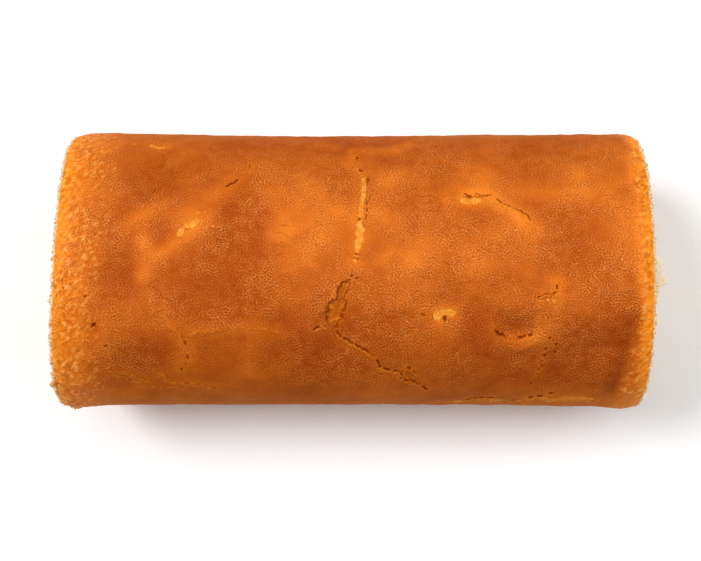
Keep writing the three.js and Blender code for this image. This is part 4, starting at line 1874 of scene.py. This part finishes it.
        wide = []
        for edge in work.edges:
            run = edge.verts[0].co - edge.verts[1].co
            steep = abs(run.x) < self.under_step and abs(run.y) > self.hidden_step * self.wide_row
            if steep and least(edge, skin) < self.skin_shown:
                wide.append(edge)
        bmesh.ops.subdivide_edges(work, edges=wide, cuts=1, use_grid_fill=True)
        lumpy = set()
        for face in work.faces:
            if len(face.verts) == 4 and least(face, rough) > self.rough_shown:
                lumpy.update(face.edges)
        bmesh.ops.subdivide_edges(work, edges=list(lumpy), cuts=1, use_grid_fill=True)
        near = set()
        for face in work.faces:
            if least(face, skin) < self.skin_shown or len(face.verts) > self.most_corners:
                continue
            _, number, away = tree.find(face.calc_center_median())
            if away < widths[number].value + self.crack_reach:
                near.update(face.edges)
        bmesh.ops.subdivide_edges(work, edges=list(near), cuts=self.crack_cuts, use_grid_fill=True)
        work.to_mesh(mesh)
        work.free()


@dataclass(frozen=True)
class Squeeze:
    """A place where the cream is squeezed out of the right end, at a lean of the outermost layer."""

    lean: float
    spread: float
    out: float


@dataclass
class Cream:
    """The spiral of cream between the turns of the sponge, with a soft bead at each end."""

    shape: RollShape
    finish: CreamFinish = CreamFinish()
    overlap: float = 0.15
    start_turn: float = 2 / 60
    core_sweep: float = 0.3
    recess: float = 0.6
    bead: float = 1.9
    full_bead_thick: float = 6.0
    rows_per_turn: int = 320
    stations: int = 16
    weld: float = 1e-4
    lump: float = 0.4
    lump_size: float = 6.5
    lump_swing: float = 1.5
    hole_spacing: float = 4.5
    hole_edge: Span = (0.3, 0.12)
    squeezes: tuple[Squeeze, ...] = (Squeeze(5.8, 6.8, 5.0), Squeeze(15.5, 3.6, 6.5), Squeeze(20.5, 9, 3.8))

    def build(self) -> bpy.types.Object:
        """Make the cream.

        Returns:
            The cream as a closed mesh in its place.
        """
        shape = self.shape
        rows = round((shape.sheet_turns - self.start_turn) * self.rows_per_turn) + 1
        turns = np.linspace(self.start_turn, shape.sheet_turns, rows)
        outside = shape.section(turns, shape.inner_share(turns), self.overlap)
        inside = self._inside(turns)
        thick = np.linalg.norm(outside - inside, axis=1)
        station = (1 - np.cos(np.linspace(0, math.pi, self.stations))) / 2
        spots = outside[:, None] * (1 - station[:, None]) + inside[:, None] * station[:, None]
        profile = 2 * np.sqrt(station * (1 - station))
        bead = self.bead * np.minimum(1, thick / self.full_bead_thick)
        caps = []
        for end in End:
            swell = bead + (self._squeezed(turns) if end is End.RIGHT else 0)
            push = end.value * (profile * swell[:, None] - self.recess)
            along = shape.end_along(end, spots[..., 0]) + push
            caps.append(np.concatenate([along[..., None], spots], axis=-1))
        piece = self._mesh(np.stack(caps), profile)
        self._soften().run(piece)
        return piece

    def _squeezed(self, turns: Array) -> Array:
        """How far the cream is squeezed out of the right end.

        Args:
            turns: turns from the outer tip.

        Returns:
            The distance at each turn.
        """
        total = np.zeros(len(turns))
        for squeeze in self.squeezes:
            away = (self.shape.lean_at(turns) - squeeze.lean) / squeeze.spread
            total += squeeze.out**3 * np.clip(1 - np.abs(away) ** 3, 0, 1)
        return np.where(turns > 1, 0, np.cbrt(total))

    def _inside(self, turns: Array) -> Array:
        """The cream's inner wall: the next turn of sponge, then the sheet's inner end and the core.

        Args:
            turns: turns from the outer tip.

        Returns:
            Points of the cross-section.
        """
        shape = self.shape
        last = shape.sheet_turns
        following = np.minimum(turns + 1, last)
        wall = shape.section(following, shape.wind_share(following), -self.overlap)
        swept = np.clip((turns + 1 - last) / self.core_sweep, 0, 1)
        end = np.full(len(turns), last)
        share = shape.wind_share(end) * (1 - swept) + shape.inner_share(end) * swept
        core = shape.section(end, share)
        return np.where((turns + 1 <= last)[:, None], wall, core)

    def _mesh(self, caps: Array, profile: Array) -> bpy.types.Object:
        """Join the two ends' grids into a closed mesh.

        Args:
            caps: points by end, row and station.
            profile: the bead's height at each station.

        Returns:
            The object, whose points carry the way that they may be pushed along the roll.
        """
        numbers = np.arange(caps[..., 0].size).reshape(caps.shape[:-1])
        left, right = numbers
        faces = quads(left) + quads(right)
        for side in (0, -1):
            faces += quads(np.column_stack([left[:, side], right[:, side]]))
        for row in (0, -1):
            faces.append([*left[row].tolist(), *right[row, ::-1].tolist()])
        piece = new_piece("cream_spiral", caps.reshape(-1, 3), faces)
        facing = np.array([end.value for end in End])[:, None, None]
        push = np.broadcast_to(facing * profile, numbers.shape)
        write_values(piece.data, {"push": push.ravel()})
        close_mesh(piece.data, self.weld)
        return piece

    def _soften(self) -> Recipe:
        """The tree that gives the cream's ends their soft lumps.

        Returns:
            The tree, ready to run.
        """
        recipe = Recipe("Soften the cream")
        board = recipe.board
        lump = recipe.given("Lump", self.lump)
        white = recipe.given("Cream", self.finish.material(), "NodeSocketMaterial")
        at = board.node("GeometryNodeInputPosition")
        rolling = board.swing(at, self.lump_size, 2.0) * self.lump_swing
        holes = board.smooth(board.cells(at, self.hole_spacing), *self.hole_edge)
        recipe.shift(recipe.read("push") * (rolling - holes) * lump)
        recipe.to_metres()
        recipe.then("GeometryNodeSetMaterial", Material=white)
        return recipe


@dataclass
class RimCrumbs:
    """Crumbs that cling to the cut ends, thickest along the rims."""

    finish: LooseCrumbFinish = LooseCrumbFinish()
    radius: float = 0.7
    sizes: Span = (0.35, 1.25)
    per_square_metre: float = 950000.0
    rim_share: float = 0.9
    rim_depths: Span = (2.4, 0.2)
    outer_shares: Span = (0.17, 0.13)
    stray_share: float = 0.015
    clear_heights: Span = (1.4, 3.0)
    end_reach: Span = (1.0, 0.1)
    end_facing: float = 0.5
    knob_size: float = 0.6
    knobbly: float = 0.8
    seed: int = 7

    def build(self, sponge: bpy.types.Object) -> bpy.types.Object:
        """Scatter the crumbs over the sponge's cut ends.

        Args:
            sponge: the finished sponge.

        Returns:
            The crumbs as one mesh.
        """
        piece = put("rim_crumbs", sponge.data.copy())
        self._scatter().run(piece)
        return piece

    def _share(self, recipe: Recipe) -> Wire:
        """How thickly the crumbs lie.

        Args:
            recipe: the tree.

        Returns:
            Their share of the full density.
        """
        board = recipe.board
        height = board.split(board.node("GeometryNodeInputPosition")).side("Z")
        low, high = self.clear_heights
        lifted = board.smooth(height, low * MM, high * MM)
        rim = board.smooth(recipe.read("inward"), *self.rim_depths)
        outer = board.smooth(recipe.read("share"), *self.outer_shares)
        share = (rim * self.rim_share * outer + self.stray_share) * lifted
        return share * board.smooth(recipe.read("from_end"), *self.end_reach)

    def _scatter(self) -> Recipe:
        """The tree that scatters the crumbs.

        Returns:
            The tree, ready to run.
        """
        recipe = Recipe("Scatter crumbs")
        board = recipe.board
        radius = recipe.given("Crumb radius", self.radius * MM)
        density = recipe.given("Crumbs per square metre", self.per_square_metre)
        toasted = recipe.given("Crumb", self.finish.material(), "NodeSocketMaterial")
        normal = board.node("GeometryNodeInputNormal")
        ends = board.math("GREATER_THAN", abs(board.split(normal)), self.end_facing)
        shown = board.math("MAXIMUM", ends, 1 - recipe.read("crumb", "BOOLEAN"))
        recipe.then(
            "GeometryNodeDistributePointsOnFaces", {"distribute_method": "RANDOM"},
            Selection=shown, Density=density * self._share(recipe), Seed=self.seed,
        )
        ball = board.node("GeometryNodeMeshIcoSphere", None, {"Radius": radius, "Subdivisions": 1})
        smallest, largest = self.sizes
        sizes = {2: smallest, 3: largest, "Seed": self.seed + 1}
        size = board.node("FunctionNodeRandomValue", {"data_type": "FLOAT"}, sizes).side(1)
        turns = {0: (0, 0, 0), 1: (math.tau, math.tau, math.tau), "Seed": self.seed + 2}
        turn = board.node("FunctionNodeRandomValue", {"data_type": "FLOAT_VECTOR"}, turns)
        recipe.then("GeometryNodeInstanceOnPoints", Instance=ball, Rotation=turn, Scale=size)
        recipe.then("GeometryNodeRealizeInstances")
        at = board.scaled(board.node("GeometryNodeInputPosition"), 1 / MM)
        bulge = board.swing(at, self.knob_size, 1.0) * radius * self.knobbly
        recipe.then("GeometryNodeSetPosition", Offset=board.scaled(normal, bulge))
        recipe.then("GeometryNodeSetShadeSmooth")
        recipe.then("GeometryNodeSetMaterial", Material=toasted)
        return recipe


@dataclass(frozen=True)
class Chip:
    """A torn bit of crust: its place, how far it stands out, and its half sizes along, round and out."""

    along: float
    lean: float
    out: float
    half: tuple[float, float, float]


@dataclass
class TornBits:
    """Bits of crust that hang on at the front corner of the left end."""

    shape: RollShape
    finish: LooseCrumbFinish = LooseCrumbFinish(srgb(232, 172, 100), srgb(200, 116, 44))
    chips: tuple[Chip, ...] = (
        Chip(-113.9, 63, -1.2, (1.4, 2.2, 1.0)),
        Chip(-113.7, 70, -1.0, (0.8, 1.2, 0.8)),
        Chip(-113.4, 77, -0.8, (0.9, 1.2, 0.9)),
        Chip(-112.4, 82, -0.5, (1.0, 1.1, 1.0)),
        Chip(-111.2, 85, 0.0, (1.1, 1.2, 1.2)),
        Chip(-109.6, 86, 0.4, (1.2, 1.1, 1.5)),
        Chip(-107.8, 86, 0.2, (1.1, 1.0, 1.1)),
        Chip(-106.2, 86, -0.1, (0.9, 0.8, 0.8)),
    )
    knobbly: float = 0.35
    seed: int = 17

    def build(self) -> bpy.types.Object:
        """Make the bits.

        Returns:
            The bits as one mesh.
        """
        random = np.random.default_rng(self.seed)
        shape = self.shape
        work = bmesh.new()
        for chip in self.chips:
            turn = shape.turn_at(np.array(chip.lean))
            y, z = shape.section(turn, shape.wind_share(turn), chip.out)
            sine = math.sin(math.radians(chip.lean))
            cosine = math.cos(math.radians(chip.lean))
            frame = np.array([(1, 0, 0), (0, -cosine, -sine), (0, -sine, cosine)])
            middle = np.array([chip.along + shape.middle_along, y, z])
            made = bmesh.ops.create_icosphere(work, subdivisions=2, radius=1.0)
            for point in made["verts"]:
                swollen = np.array(point.co) * chip.half * (1 + self.knobbly * random.uniform(-1, 1))
                point.co = (middle + swollen @ frame) * MM
        bmesh.ops.recalc_face_normals(work, faces=work.faces)
        for face in work.faces:
            face.smooth = True
        mesh = bpy.data.meshes.new("torn_bits")
        work.to_mesh(mesh)
        work.free()
        mesh.materials.append(self.finish.material())
        return put("torn_bits", mesh)


@dataclass(frozen=True)
class Sun:
    """A soft distant light: its lean from upright to the left and to the back, its spread and strength."""

    name: str
    left: float
    back: float
    spread: float
    strength: float


@dataclass
class Studio:
    """Plain pale floor, soft light from above and behind, and the camera that looks down on the roll."""

    target: Vector
    tilt: float = 5.0
    distance: float = 473.0
    focal_pixels: float = 1180.0
    centre_pixels: Span = (354.1, 269.5)
    image: tuple[int, int] = (701, 561)
    sensor: float = 36.0
    floor_half: float = 12000.0
    floor_drop: float = 0.3
    suns: tuple[Sun, ...] = (
        Sun("key_light", 36.0, 16.0, 24.0, 1.9),
        Sun("top_light", 0.0, 12.0, 70.0, 1.3),
        Sun("fill_light", -50.0, 8.0, 60.0, 0.9),
    )
    sky: float = 0.12
    backdrop: float = 1.0

    def build(self) -> bpy.types.Object:
        """Make the floor, the light and the camera.

        Returns:
            The floor.
        """
        self._camera()
        self._light()
        scene = bpy.context.scene
        scene.view_settings.view_transform = "Standard"
        scene.view_settings.look = "None"
        return self._floor()

    def _camera(self) -> None:
        """Set the camera at the picture's viewing angle."""
        width, height = self.image
        camera = bpy.data.cameras.new("camera")
        camera.sensor_width = self.sensor
        camera.lens = self.focal_pixels * self.sensor / width
        camera.shift_x = (width / 2 - self.centre_pixels[0]) / width
        camera.shift_y = (self.centre_pixels[1] - height / 2) / width
        tilt = math.radians(self.tilt)
        stand = put("camera", camera)
        stand.location = self.target + Vector((0, -math.sin(tilt), math.cos(tilt))) * self.distance * MM
        stand.rotation_euler = (tilt, 0, 0)
        bpy.context.scene.camera = stand

    def _light(self) -> None:
        """Set the soft lights and the surroundings, whose backdrop looks pale but sheds little light."""
        for sun in self.suns:
            light = bpy.data.lights.new(sun.name, "SUN")
            light.angle = math.radians(sun.spread)
            light.energy = sun.strength
            left = math.radians(sun.left)
            back = math.radians(sun.back)
            upright = math.cos(left)
            towards = Vector((-math.sin(left), upright * math.sin(back), upright * math.cos(back)))
            stand = put(sun.name, light)
            stand.location = self.target + towards
            stand.rotation_euler = towards.to_track_quat("Z", "Y").to_euler()
        world = bpy.data.worlds.new("pale_room")
        world.use_nodes = True
        world.node_tree.nodes.clear()
        board = Board(world.node_tree)
        seen = board.node("ShaderNodeLightPath").side("Is Camera Ray")
        strength = self.sky + seen * (self.backdrop - self.sky)
        room = board.node("ShaderNodeBackground", None, {"Color": (1, 1, 1, 1), "Strength": strength})
        board.node("ShaderNodeOutputWorld", None, {"Surface": room})
        bpy.context.scene.world = world

    def _floor(self) -> bpy.types.Object:
        """Lay the floor.

        Returns:
            The floor.
        """
        half = self.floor_half
        sides = ((-half, -half), (half, -half), (half, half), (-half, half))
        corners = np.array([(x, y, -self.floor_drop) for x, y in sides])
        floor = new_piece("floor", corners * MM, [[0, 1, 2, 3]])
        floor.data.materials.append(FloorFinish().material())
        return floor


def settle(piece: bpy.types.Object, node: Node | None = None) -> None:
    """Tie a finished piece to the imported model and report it.

    Args:
        piece: the piece.
        node: the solid that it stands for, if any.
    """
    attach(piece, "root")
    if node is not None:
        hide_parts(node.value)
    piece.data.calc_loop_triangles()
    LOG.info("%s: %d triangles", piece.name, len(piece.data.loop_triangles))


def main() -> None:
    """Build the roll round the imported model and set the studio."""
    logging.basicConfig(level=logging.INFO, format="%(name)s: %(message)s")
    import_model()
    shape = RollShape()
    target = Vector((shape.middle_along, 0, shape.height / 2)) * MM
    floor = Studio(target).build()
    LOG.info("floor: laid")

    lines = CrackLines(shape).build()
    sponge = Sponge(shape).build(lines)
    bpy.data.objects.remove(lines)
    cream = Cream(shape).build()
    crumbs = RimCrumbs().build(sponge)
    bits = TornBits(shape).build()
    settle(sponge, Node.SPONGE)
    settle(cream, Node.CREAM)
    settle(crumbs)
    settle(bits)


if __name__ == "__main__":
    main()
